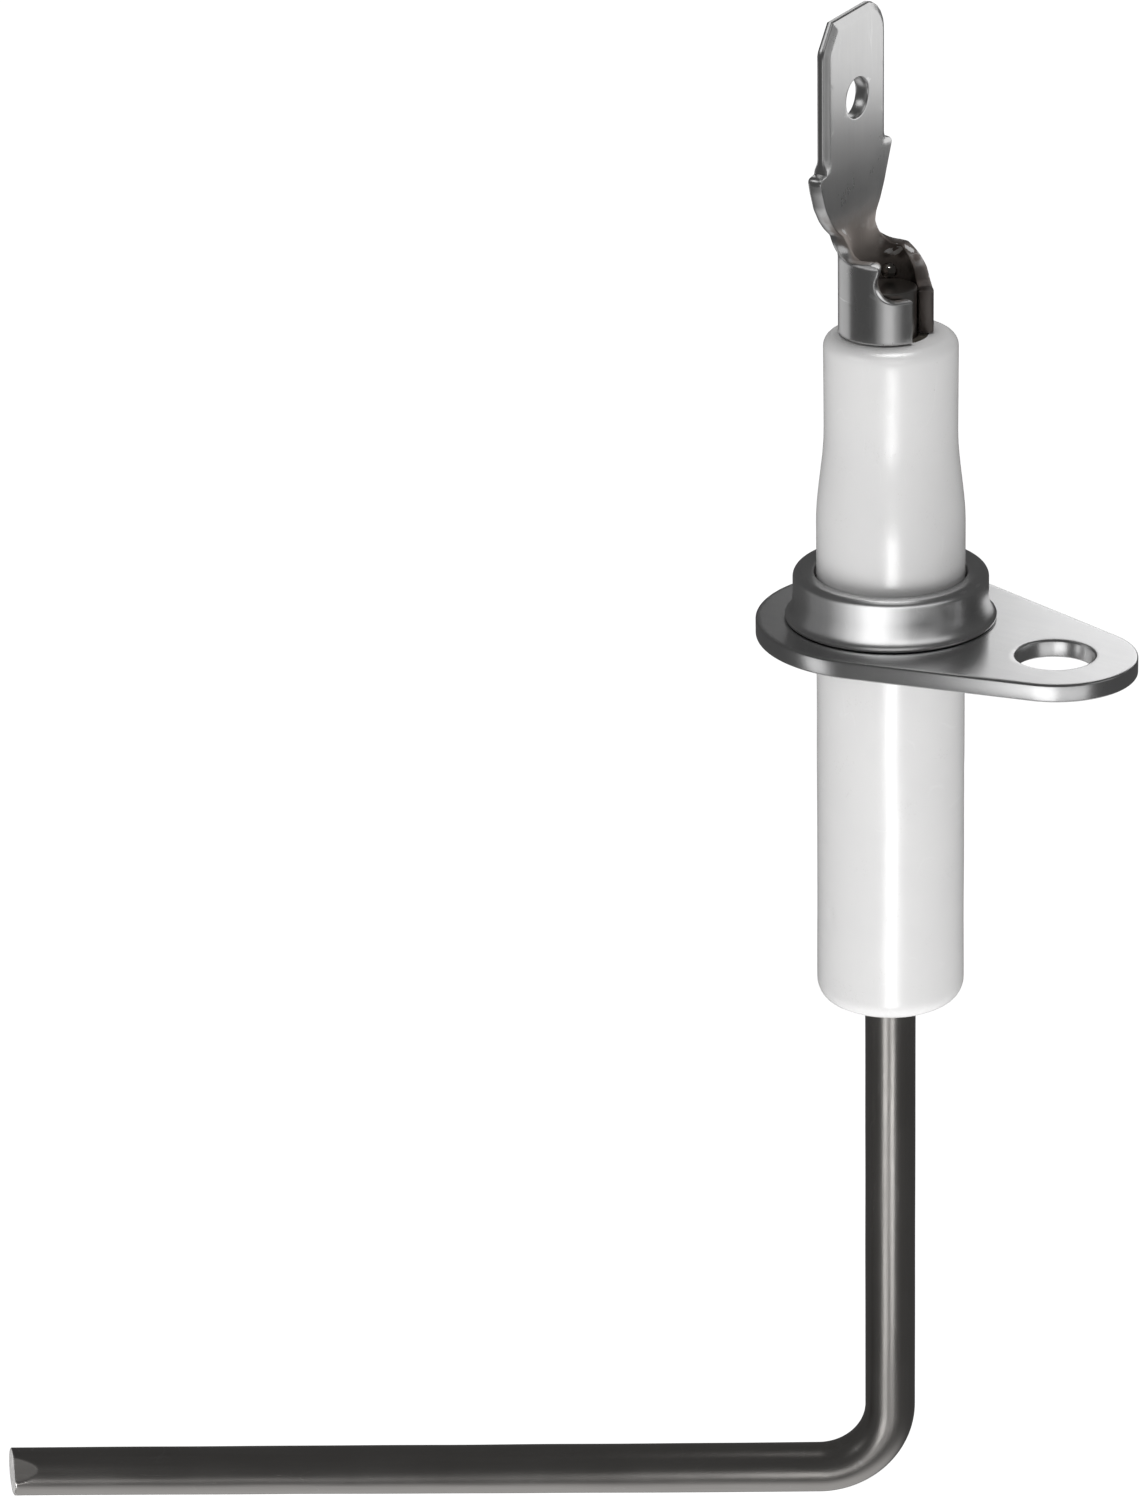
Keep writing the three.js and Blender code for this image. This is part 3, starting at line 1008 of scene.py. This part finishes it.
@dataclass
class CollarSleeve:
    """The drawn sleeve: a lip rolled into a bead, a wall, a flared foot, and a spigot spread at its end."""

    bore: float = 4.12
    wall: float = 0.5
    radius: float = 5.26
    foot_radius: float = 5.68
    foot_height: float = 1.05
    foot_edge: float = 0.12
    flare_height: float = 1.25
    lip_height: float = 3.75
    lip_crest: float = 4.8
    lip_drop: float = 0.2
    lip_depth: float = 0.75
    spigot_radius: float = 4.55
    rim_radius: float = 4.67
    rim_depth: float = 0.5
    rim_round: float = 0.2
    bore_break: float = 0.08
    gap: float = 0.05
    foot_round: float = 0.05
    rim_steps: int = 5
    foot_steps: int = 3
    unevenness: float = 0.02
    uneven_height: float = 1.2
    uneven_reach: float = 0.3
    columns: int = 144
    arc_steps: int = 12

    def profile(self) -> Array:
        """The closed outline: from the rim under the plate up the outside, over the bead, down the bore."""
        outer = self.radius - self.lip_crest
        inner = self.lip_crest - self.bore
        flare = (self.foot_radius - self.radius, self.flare_height)
        base = self.foot_height + self.foot_edge
        groove, shelf = self.lip_height - self.lip_depth, self.foot_height + self.wall
        crest = (self.lip_crest, self.lip_height - self.lip_drop)
        rim = (self.rim_radius - self.rim_round, self.rim_round - self.rim_depth)
        foot = (self.foot_radius - self.foot_round, self.foot_height + self.foot_round)
        return np.vstack([
            [[self.bore + self.bore_break, -self.rim_depth]],
            arc(rim, (self.rim_round,) * 2, -90, 0, self.rim_steps),
            [[self.rim_radius, -self.gap], [self.spigot_radius, -self.gap]],
            [[self.spigot_radius, self.foot_height]],
            arc(foot, (self.foot_round,) * 2, -90, 0, self.foot_steps),
            arc((self.foot_radius, base + flare[1]), flare, 270, 180, self.arc_steps),
            arc((self.lip_crest, self.lip_height - outer), (outer, outer), 0, 90, self.arc_steps),
            arc(crest, (inner, self.lip_drop), 90, 180, self.arc_steps)[1:],
            [[self.bore, groove], [self.radius - self.wall, groove]],
            [[self.radius - self.wall, shelf], [self.bore, shelf]],
            [[self.bore, self.bore_break - self.rim_depth]],
        ])

    def build(self, material: Material) -> None:
        """Makes the sleeve, with a slightly uneven lip, and places it."""
        shell = Shell("rolled_sleeve")
        grid = turned(self.profile(), self.columns)
        turn = np.arctan2(grid[..., 1], grid[..., 0])
        reach = np.hypot(grid[..., 0], grid[..., 1])
        high = smoothstep(self.lip_height - self.uneven_height, self.lip_height, grid[..., 2])
        high = high * smoothstep(self.bore, self.bore + self.uneven_reach, reach)
        grid[..., 2] += self.unevenness * high * (ripple(turn, np.zeros_like(turn), seed=2) - 1.0)
        shell.add(grid, wrap_rows=True, wrap_columns=True)
        placed(shell.made(sharp=40), "collar_sleeve", material)


# ------------------------------------------------------------ tab


class Side(Enum):
    """The strip's two sides: the front one has s below zero."""

    FRONT = -1.0
    REAR = 1.0


@dataclass
class TabTerminal:
    """The push-on tab: one strip with coined edges, rolled round the wire below its neck.

    Its outline is made flat, as [distance off the middle, height], in stretches of side_steps steps each.
    The middle line passes centre_levels where the stretches meet.
    """

    half_thickness: float = 0.4
    coined: float = 0.2
    coin_width: float = 0.45
    coin_soft: float = 0.2
    edge: float = 0.09
    turn: float = 3.0
    shift: float = -0.08
    base: float = 17.05
    barrel_radius: float = 2.13
    barrel_axis: float = -0.27
    half_turn: float = 156.0
    barrel_top: float = 21.45
    lip_top: float = 19.4
    curl: Pair = (21.2, 23.0)
    neck_half: float = 1.78
    neck_height: float = 22.5
    fillet: float = 1.07
    fillet_steps: int = 12
    notch_centre: float = 5.04
    notch_radius: float = 1.0
    notch_turn: float = 30.0
    notch_steps: int = 24
    notch_end: Pair = (4.31, 21.70)
    rear_wing: tuple[Pair, ...] = ((5.1, 19.4), (4.82, 19.65), (4.45, 20.3), (3.88, 20.9), (3.3, 21.4))
    front_half: float = 3.78
    rear_half: float = 3.66
    front_flank: tuple[Pair, ...] = ((2.25, 22.95), (2.7, 23.45), (3.25, 24.3), (3.65, 25.4))
    rear_flank: tuple[Pair, ...] = ((2.1, 23.0), (2.42, 23.45), (2.85, 24.3), (3.28, 25.4))
    shoulder_height: float = 26.65
    shoulder_round: float = 0.3
    shoulder_steps: int = 6
    shoulder_foot: float = 0.05
    front_shoulder_drop: float = 0.45
    blade_half: float = 3.15
    chamfer_height: float = 32.45
    front_corner: tuple[Pair, ...] = ((3.14, 32.6), (3.1, 32.76), (3.04, 32.91), (2.95, 33.04), (2.1, 34.25))
    rear_corner: tuple[Pair, ...] = (
        *((3.13, 32.85), (3.06, 33.2), (2.82, 33.66), (2.45, 34.06)),
        *((2.0, 34.33), (1.6, 34.45)),
    )
    hole_height: float = 29.65
    hole_radius: float = 1.05
    hole_margin: float = 1.5
    hole_shares: tuple[float, ...] = (0.0, 0.04, 0.1, 0.17, 0.25, 0.36, 0.48, 0.6, 0.72, 0.84, 0.93, 1.0)
    bevel: Pair = (-0.35, 0.3)
    wall_steps: int = 12
    side_steps: tuple[int, ...] = (14, 40, 16, 22, 5, 10, 24, 16, 26)
    hole_stretch: int = 6
    centre_levels: tuple[float, ...] = (17.05, 18.9, 20.6, 22.3, 26.0, 26.6, 28.15, 31.15, 32.4, 34.3)
    column_shares: tuple[float, ...] = (
        *(0.0, 0.07, 0.14, 0.21, 0.28, 0.35, 0.42, 0.49, 0.56, 0.63, 0.7),
        *(0.76, 0.81, 0.855, 0.89, 0.92, 0.945, 0.967, 0.985, 1.0),
    )

    def stretches(self, side: Side) -> list[Array]:
        """One side's edge from base to tip, as [distance off the middle, height], in nine stretches."""
        is_front = side is Side.FRONT
        foot = [self.barrel_radius * math.radians(self.half_turn), self.lip_top]
        rise = self.neck_height - self.barrel_top
        fillet_centre = (self.neck_half + self.fillet, self.neck_height)
        fillet = arc(fillet_centre, (self.fillet, rise), -90, -180, self.fillet_steps)
        notch_centre = (self.notch_centre, self.lip_top + self.notch_radius)
        notch_radii = (-self.notch_radius, self.notch_radius)
        notch = arc(notch_centre, notch_radii, -90, self.notch_turn, self.notch_steps)
        wing = np.vstack([notch, self.notch_end]) if is_front else np.array(self.rear_wing)
        level = self.shoulder_height - (self.front_shoulder_drop if is_front else 0.0)
        half = self.front_half if is_front else self.rear_half
        shoulder_centre = (half - self.shoulder_round, level - self.shoulder_round)
        shoulder = arc(shoulder_centre, (self.shoulder_round,) * 2, 0, 90, self.shoulder_steps)
        levels = [
            level + self.shoulder_foot,
            self.hole_height - self.hole_margin,
            self.hole_height + self.hole_margin,
            self.chamfer_height,
        ]
        straight = np.column_stack([np.full(len(levels), self.blade_half), levels])
        return [
            np.array([[foot[0], self.base], foot]),
            np.vstack([foot, wing, fillet[:1]]),
            fillet,
            np.vstack([fillet[-1:], self.front_flank if is_front else self.rear_flank, shoulder[:1]]),
            np.vstack([shoulder, straight[:1]]),
            *(straight[first : first + 2] for first in range(len(levels) - 1)),
            np.vstack([straight[-1:], self.front_corner if is_front else self.rear_corner]),
        ]

    def side(self, side: Side) -> Array:
        """The side's edge points, evenly spaced within each stretch."""
        parts = [resampled(line, steps)[:-1] for line, steps in zip(self.stretches(side), self.side_steps)]
        edge = np.vstack([*parts, self.stretches(side)[-1][-1:]])
        return edge * np.array([side.value, 1.0])

    def columns(self) -> Array:
        """Places across the strip from -1 to 1, close together at both edges."""
        shares = np.array(self.column_shares)
        return np.concatenate([-shares[:0:-1], shares])

    def loop(self) -> Array:
        """The strip's closed outline, counter-clockwise: base, rear side, tip and front side."""
        front, rear = self.side(Side.FRONT), self.side(Side.REAR)
        share = ((self.columns() + 1.0) / 2.0)[:, None]
        base = front[0] + (rear[0] - front[0]) * share
        tip = front[-1] + (rear[-1] - front[-1]) * share
        return np.vstack([base[:-1], rear[:-1], tip[::-1][:-1], front[::-1][:-1]])

    def rolled(self, flat: Array) -> Array:
        """Rolls (s, z, inward): round the barrel's axis below the curl's heights, flat above them.

        The bend's radius is barrel radius / share rolled, its angle s / radius, and the point lies inward of
        the strip's middle along the radius. The share rolled falls smoothly from 1 to 0 over the curl.
        """
        s, z, inward = flat[..., 0], flat[..., 1], flat[..., 2]
        share = np.maximum(1.0 - smoothstep(*self.curl, z), TINY)
        radius = self.barrel_radius / share
        angle = s / radius
        spine = self.barrel_axis - self.barrel_radius
        x = spine + radius * (1.0 - np.cos(angle)) + inward * np.cos(angle)
        y = (radius - inward) * np.sin(angle) + self.shift
        cosine, sine = math.cos(math.radians(self.turn)), math.sin(math.radians(self.turn))
        return np.stack([x * cosine - y * sine, x * sine + y * cosine, z], axis=-1)

    def half_depth(self, flat: Array, loop: Array) -> Array:
        """Half the strip's thickness: full inside, and coined down to the edge along the blade.

        The coined share is t = (coin width - distance to the edge) / (coin width - edge), eased at its start
        to (t + sqrt(t^2 + soft^2)) / 2 and held at 1. It fades out over the shoulders.

        Args:
            flat: points of the flat strip.
            loop: the strip's outline.

        Returns:
            The half thickness at each point.
        """
        near = distance_to_loop(flat, loop)
        blade = smoothstep(*self.bevel, flat[..., 1] - self.shoulder_height)
        share = (self.coin_width - near) / (self.coin_width - self.edge)
        share = np.minimum((share + np.sqrt(share**2 + self.coin_soft**2)) / 2.0, 1.0)
        return self.half_thickness - (self.half_thickness - self.coined) * blade * share

    def add_skins(self, shell: Shell, flat: Array, loop: Array, wrap: bool = False) -> None:
        """Adds the inner and the outer skin over a flat grid."""
        depth = self.half_depth(flat, loop)
        for sign in (1.0, -1.0):
            thick = np.concatenate([flat, (sign * depth)[..., None]], axis=-1)
            shell.add(self.rolled(thick), thick, wrap_columns=wrap)

    def add_wall(self, shell: Shell, edge_loop: Array, inward: Array, loop: Array) -> None:
        """Adds the cut edge: at angle t it lies edge (1 - cos t) inside, and depth sin t off the middle."""
        over = np.radians(np.linspace(90.0, -90.0, self.wall_steps + 1))
        skin = edge_loop + inward * self.edge
        depth = self.half_depth(skin, loop)
        flat = edge_loop[None] + inward[None] * (self.edge * (1.0 - np.cos(over)))[:, None, None]
        height = depth[None, :] * np.sin(over)[:, None]
        thick = np.concatenate([flat, height[..., None]], axis=-1)
        shell.add(self.rolled(thick), thick, wrap_columns=True)

    def build(self, material: Material) -> None:
        """Makes the strip's skins, the hole's surround and the cut edges, and places the tab."""
        shell = Shell("push_on_tab")
        loop = self.loop()
        inward = inward_normals(loop)
        skin = loop + inward * self.edge
        across = len(self.columns()) - 1
        steps = sum(self.side_steps)
        rear = skin[across : across + steps + 1]
        tip = skin[across + steps : 2 * across + steps + 1][::-1]
        front = np.vstack([skin[2 * across + steps :], skin[:1]])[::-1]
        base = skin[: across + 1]
        marks = np.cumsum([0, *self.side_steps])
        levels = np.interp(np.arange(steps + 1), marks, self.centre_levels)
        middle = np.column_stack([np.zeros(steps + 1), levels])
        place = self.columns()[None, :, None]
        edge = np.where(place < 0.0, front[:, None, :], rear[:, None, :])
        flat = middle[:, None, :] + (edge - middle[:, None, :]) * np.abs(place)
        flat[0], flat[-1] = base, tip
        low, high = marks[self.hole_stretch : self.hole_stretch + 2]
        self.add_skins(shell, flat[: low + 1], loop)
        self.add_skins(shell, flat[high:], loop)
        window = np.vstack([flat[low, :-1], flat[low:high, -1], flat[high, :0:-1], flat[high:low:-1, 0]])
        centre = np.array([0.0, self.hole_height])
        outward = unit(window - centre)
        hole = centre + self.hole_radius * outward
        share = np.array(self.hole_shares)[:, None, None]
        surround = window + (hole + outward * self.edge - window) * share
        self.add_skins(shell, surround, loop, wrap=True)
        self.add_wall(shell, loop, inward, loop)
        self.add_wall(shell, hole, outward, loop)
        placed(shell.made(sharp=50), "tab_terminal", material)


# ------------------------------------------------------------ weld bead


@dataclass
class WeldBead:
    """The frozen drop of weld metal on the wire's end."""

    radius: float = 0.46
    half_height: float = 0.42
    centre: Point = (-0.6, 0.72, 20.15)
    dent: float = 0.05
    uneven_pitch: float = 3.0
    columns: int = 48
    rows: int = 25

    def build(self, material: Material) -> None:
        """Makes a flattened ball (r cos v cos u, r cos v sin u, h sin v), dented at its waist, and places it.

        The radius r is radius (1 - dent cos v (1 + ripple)), with u the turn and v the rise.
        """
        shell = Shell("weld_drop")
        turn, rise = np.meshgrid(around(self.columns), np.linspace(-np.pi / 2, np.pi / 2, self.rows))
        uneven = 1.0 + ripple(turn, rise * self.uneven_pitch, seed=5)
        reach = self.radius * (1.0 - self.dent * np.cos(rise) * uneven) * np.cos(rise)
        height = self.half_height * np.sin(rise)
        ball = np.stack([reach * np.cos(turn), reach * np.sin(turn), height], axis=-1)
        shell.add(ball + np.array(self.centre), wrap_columns=True)
        placed(shell.made(sharp=60), "weld_bead", material)


# ------------------------------------------------------------ studio


ORIGIN: Point = (0.0, 0.0, 0.0)
LEG_END: Point = (-50.0, 1.0, -50.3)
WHITE = (1.0, 1.0, 1.0, 1.0)


@dataclass(frozen=True)
class Panel:
    """A soft light in the camera's level frame, and the one piece that it lights.

    It faces its aim; without one it hangs upright and faces the ceramic's axis. Beam is how wide it fans out.
    """

    name: str
    place: Point
    size: Pair
    glow: float
    piece: str
    aim: Point | None = None
    beam: float = 180.0


@dataclass
class Studio:
    """The floor, the soft lights and the camera.

    The surround is an even dim grey, with a glow from below that fades out round glow_level, the sine of
    an elevation, and is a little weaker behind the object.
    """

    camera_turn: float = 36.2
    camera_drop: float = 22.162
    camera_roll: float = -0.964
    camera_distance: float = 400.0
    camera_range: Pair = (0.01, 20.0)
    aim: Point = (-17.27, 0.0, -6.484)
    lens: float = 177.7
    floor_gap: float = 0.05
    floor_size: float = 6000.0
    paper_dark: Colour = (0.88, 0.88, 0.88)
    paper_light: Colour = (0.93, 0.93, 0.93)
    paper_rough: float = 0.9
    surround: float = 0.085
    glow: float = 0.66
    glow_level: float = -0.78
    glow_soft: float = 0.13
    glow_width: float = 900.0
    panels: tuple[Panel, ...] = (
        Panel("left_fill", (-270.0, -130.0, 150.0), (220.0, 200.0), 1.15, "alumina_tube"),
        Panel("front_fill", (20.0, -250.0, 130.0), (160.0, 160.0), 1.0, "alumina_tube", ORIGIN),
        Panel("crown_fill", (0.0, 15.0, 240.0), (120.0, 120.0), 7.0, "alumina_tube", ORIGIN),
        Panel("ceramic_strip", (-3.0, -170.0, -95.0), (30.0, 110.0), 13.0, "alumina_tube"),
        Panel("wire_left", (-476.0, -1000.0, -496.0), (404.0, 66.0), 12.0, "resistance_wire"),
        Panel("wire_right", (8.5, -79.5, -65.0), (19.0, 23.0), 4.4, "resistance_wire"),
        Panel("sleeve_wide", (-28.0, -160.0, -60.0), (560.0, 300.0), 0.38, "rolled_sleeve"),
        Panel("sleeve_middle", (-55.0, -152.0, -60.0), (220.0, 290.0), 0.6, "rolled_sleeve"),
        Panel("sleeve_core", (-53.0, -149.0, -60.0), (90.0, 280.0), 0.7, "rolled_sleeve"),
        Panel("sleeve_left", (-150.0, -13.0, -60.0), (150.0, 200.0), 0.14, "rolled_sleeve"),
        Panel("ear_glow", (140.0, -75.0, 64.0), (120.0, 80.0), 0.35, "flange_plate"),
        Panel("barrel_wide", (12.0, -180.0, -50.0), (200.0, 90.0), 0.3, "push_on_tab"),
        Panel("barrel_core", (10.0, -175.0, -50.0), (84.0, 80.0), 0.6, "push_on_tab"),
        Panel("barrel_left", (-120.0, 90.0, -40.0), (150.0, 80.0), 0.55, "push_on_tab"),
        Panel("blade_card", (28.0, 12.0, 40.0), (34.0, 42.0), 1.0, "push_on_tab"),
        Panel("edge_card", (32.0, -16.0, 27.0), (14.0, 30.0), 0.45, "push_on_tab"),
        Panel("tip_card", (-91.0, -29.0, 105.0), (60.0, 60.0), 1.1, "push_on_tab", ORIGIN),
        Panel("rim_back_card", (-5.0, 140.0, 85.0), (60.0, 60.0), 0.9, "push_on_tab"),
        Panel("spark_card", (0.0, -60.0, 150.0), (30.0, 30.0), 30.0, "weld_drop", ORIGIN),
        Panel("top_card", (0.0, -30.0, 160.0), (90.0, 90.0), 0.7, "rolled_sleeve", ORIGIN),
        Panel("tab_top", (10.0, -60.0, 150.0), (110.0, 110.0), 0.6, "push_on_tab", ORIGIN),
        Panel("back_right", (66.0, 140.0, 66.0), (118.0, 60.0), 1.65, "flange_plate"),
        Panel("front_high", (150.0, -230.0, 110.0), (360.0, 110.0), 0.7, "rolled_sleeve"),
        Panel("flank_card", (-1.4, -30.4, -8.0), (18.0, 12.0), 2.0, "flange_plate"),
        Panel("ear_card", (30.0, -66.0, -24.0), (50.0, 30.0), 0.95, "flange_plate"),
        Panel("rim_card", (-39.0, -19.0, -14.0), (14.0, 16.0), 1.2, "flange_plate"),
        Panel("cut_card", (-57.3, 13.0, -56.4), (12.0, 12.0), 0.1, "resistance_wire", LEG_END, 50.0),
        Panel("cut_rim_card", (-67.4, -8.9, -58.6), (12.0, 12.0), 0.8, "resistance_wire", LEG_END, 30.0),
        Panel("shear_card", (-71.0, -44.0, -14.0), (26.0, 26.0), 0.35, "resistance_wire"),
    )

    def turned(self, point: Point) -> Vector:
        """A point of the camera's level frame, in metres in the object's frame."""
        return Matrix.Rotation(math.radians(self.camera_turn), 3, "Z") @ Vector(point) * MM

    def build_floor(self) -> None:
        """Lays a pale floor just under the leg, bright enough to read as a clean sweep."""
        corner = self.floor_size * MM / 2
        level = CAD_BOX[0][2] - self.floor_gap * MM
        mesh = bpy.data.meshes.new("pale_floor")
        corners = [(corner * x, corner * y, level) for x, y in ((-1, -1), (1, -1), (1, 1), (-1, 1))]
        mesh.from_pydata(corners, [], [(0, 1, 2, 3)])
        floor = bpy.data.objects.new("pale_floor", mesh)
        bpy.context.scene.collection.objects.link(floor)
        material = bpy.data.materials.new("pale_paper")
        material.use_nodes = True
        sheet = Sheet(material.node_tree)
        shader = material.node_tree.nodes["Principled BSDF"]
        fibre = sheet.noise(sheet.node("TexCoord").outputs["Object"], scale=400.0, detail=4.0)
        sheet.feed(shader.inputs["Base Color"], sheet.blend(fibre, self.paper_dark, self.paper_light))
        shader.inputs["Roughness"].default_value = self.paper_rough
        shader.inputs["Specular IOR Level"].default_value = 0.0
        shader.inputs["Emission Color"].default_value = WHITE
        shader.inputs["Emission Strength"].default_value = 1.0
        mesh.materials.append(material)
        floor.visible_glossy = False
        floor.visible_shadow = False

    def build_surround(self) -> None:
        """Builds the world: grey + glow e^-(azimuth / width)^2 times its share at that height."""
        world = bpy.data.worlds.new("studio_surround")
        world.use_nodes = True
        sheet = Sheet(world.node_tree)
        rotation = (0.0, 0.0, -math.radians(self.camera_turn))
        way = sheet.node("Mapping", Vector=sheet.node("TexCoord").outputs["Generated"], Rotation=rotation)
        part = sheet.node("SeparateXYZ", Vector=way.outputs[0])
        azimuth = sheet.math("ARCTAN2", part.outputs["X"], sheet.times(part.outputs["Y"], -1.0))
        off = sheet.math("DIVIDE", azimuth, math.radians(self.glow_width))
        bell = sheet.math("EXPONENT", sheet.times(sheet.times(off, off), -1.0))
        full, none = self.glow_level - self.glow_soft, self.glow_level + self.glow_soft
        share = sheet.spread(part.outputs["Z"], none, full)
        glow = sheet.times(sheet.times(share, self.glow), bell)
        background = world.node_tree.nodes["Background"]
        sheet.feed(background.inputs["Strength"], sheet.plus(self.surround, glow))
        background.inputs["Color"].default_value = WHITE
        bpy.context.scene.world = world

    def build_lights(self) -> None:
        """Hangs the soft panels, each lighting its own piece."""
        for panel in self.panels:
            light = bpy.data.lights.new(panel.name, "AREA")
            light.shape = "RECTANGLE"
            light.size, light.size_y = (side * MM for side in panel.size)
            light.energy = panel.glow * math.pi * light.size * light.size_y
            lamp = bpy.data.objects.new(panel.name, light)
            place = self.turned(panel.place)
            lamp.location = place
            light.spread = math.radians(panel.beam)
            aim = Vector((0.0, 0.0, place.z)) if panel.aim is None else self.turned(panel.aim)
            lamp.rotation_euler = (aim - place).to_track_quat("-Z", "Y").to_euler()
            lamp.visible_camera = False
            lit = bpy.data.collections.new(panel.name + "_lit")
            lit.objects.link(bpy.data.objects[panel.piece])
            lamp.light_linking.receiver_collection = lit
            bpy.context.scene.collection.objects.link(lamp)

    def build_camera(self) -> None:
        """Sets the camera: it looks forward, turned down by camera_drop, and rolls about its own axis."""
        drop, roll = math.radians(self.camera_drop), math.radians(self.camera_roll)
        forward = Vector((0.0, math.cos(drop), -math.sin(drop)))
        right, up = Vector((1.0, 0.0, 0.0)), Vector((0.0, math.sin(drop), math.cos(drop)))
        rolled_right = right * math.cos(roll) + up * math.sin(roll)
        rolled_up = up * math.cos(roll) - right * math.sin(roll)
        place = Vector(self.aim) - forward * self.camera_distance
        pose = Matrix((rolled_right, rolled_up, -forward)).transposed().to_4x4()
        pose.translation = place * MM
        data = bpy.data.cameras.new("studio_camera")
        data.lens = self.lens
        data.clip_start, data.clip_end = self.camera_range
        camera = bpy.data.objects.new("studio_camera", data)
        camera.matrix_world = Matrix.Rotation(math.radians(self.camera_turn), 4, "Z") @ pose
        bpy.context.scene.collection.objects.link(camera)
        bpy.context.scene.camera = camera

    def build(self) -> None:
        """Builds the whole studio round the finished pieces, and shows colours as they are."""
        self.build_floor()
        self.build_surround()
        self.build_lights()
        self.build_camera()
        bpy.context.scene.view_settings.view_transform = "Standard"


# ------------------------------------------------------------ finishes used


ALUMINA = Alumina("alumina")
CEMENT = Granular("cement")
PACKING = Granular("packing", dark=(0.03, 0.03, 0.03), light=(0.12, 0.12, 0.115), grain_scale=5000.0)
FLANGE_STEEL = Metal(
    "flange_steel",
    dark=(0.61, 0.61, 0.615),
    light=(0.65, 0.65, 0.65),
    stretch=(160.0, 2600.0, 2600.0),
    smooth=0.27,
    rough=0.3,
    line_depth=0.0003,
)
SLEEVE_STEEL = Metal(
    "sleeve_steel",
    dark=(0.63, 0.63, 0.635),
    light=(0.68, 0.68, 0.68),
    stretch=(2600.0, 2600.0, 200.0),
    smooth=0.28,
    rough=0.31,
    line_depth=0.0002,
)
UP, DOWN, REARWARD, INWARD = (0.0, 1.0, 0.0), (0.0, -1.0, 0.0), (1.0, 0.0, 0.0), (0.0, 0.0, 1.0)
# Painted shade: a dark brown laid on the rear wing's outer part and along its top, where it sits in shade.
REAR_WING_PAINTED_SHADE = (0.13, 0.11, 0.1)
# Painted shade: a darker, rougher brown laid on the inner face of the barrel and the neck below 24.4 mm,
# covering their reflections.
INSIDE_PAINTED_SHADE = (0.4, 0.36, 0.335)
TERMINAL_STEEL = Metal(
    "terminal_steel",
    dark=(0.59, 0.59, 0.59),
    light=(0.63, 0.628, 0.625),
    stretch=(2800.0, 150.0, 2800.0),
    smooth=0.26,
    rough=0.32,
    line_depth=0.0004,
    space=Space.STOCK,
    tints_and_painted_shade=(
        # The tab's three tints are painted shade: inside the barrel, on the rear wing's outer part, and along
        # the rear wing's top.
        TintOrPaintedShade(INSIDE_PAINTED_SHADE, ((INWARD, -0.1, 0.3), (DOWN, -24.4, -22.4)), rough=0.58),
        TintOrPaintedShade(REAR_WING_PAINTED_SHADE, ((REARWARD, 3.6, 4.4), (DOWN, -22.9, -22.3)), strength=0.9),
        TintOrPaintedShade(REAR_WING_PAINTED_SHADE, ((REARWARD, 1.5, 2.3), (DOWN, -22.9, -22.3), (UP, 20.5, 20.9)), strength=0.9),
    ),
)
CUT_LEVEL = ElectrodeWire().cut_level()
CUT_WAY = (0.03, 0.22, 1.0)
BRIGHT_CUT = (0.55, 0.54, 0.53)
WIRE_STEEL = Metal(
    "wire_steel",
    dark=(0.37, 0.355, 0.34),
    light=(0.42, 0.405, 0.39),
    worn=(0.5, 0.49, 0.48),
    stretch=(2600.0, 2600.0, 110.0),
    cloud_scale=260.0,
    smooth=0.28,
    rough=0.36,
    line_depth=0.002,
    wear_start=0.6,
    space=Space.STOCK,
    tints_and_painted_shade=(TintOrPaintedShade(BRIGHT_CUT, ((CUT_WAY, CUT_LEVEL - 0.1, CUT_LEVEL - 0.05),)),),
)
WELD_METAL = Metal("weld_metal", dark=(0.16, 0.145, 0.135), light=(0.24, 0.225, 0.21), smooth=0.12, rough=0.2)


def main() -> None:
    """Builds every piece in order, then the studio round them."""
    logging.basicConfig(level=logging.INFO, format="%(name)s %(message)s")
    effects = Effects.build()
    CeramicInsulator().build(ALUMINA.build(effects))
    cement = CEMENT.build(effects)
    dressed("upper_cement_ring", cement)
    dressed("lower_cement_ring", cement)
    dressed("packing_ring", PACKING.build(effects))
    ElectrodeWire().build(WIRE_STEEL.build(effects))
    MountingFlange().build(FLANGE_STEEL.build(effects))
    CollarSleeve().build(SLEEVE_STEEL.build(effects))
    TabTerminal().build(TERMINAL_STEEL.build(effects))
    WeldBead().build(WELD_METAL.build(effects))
    Studio().build()


if __name__ == "__main__":
    main()
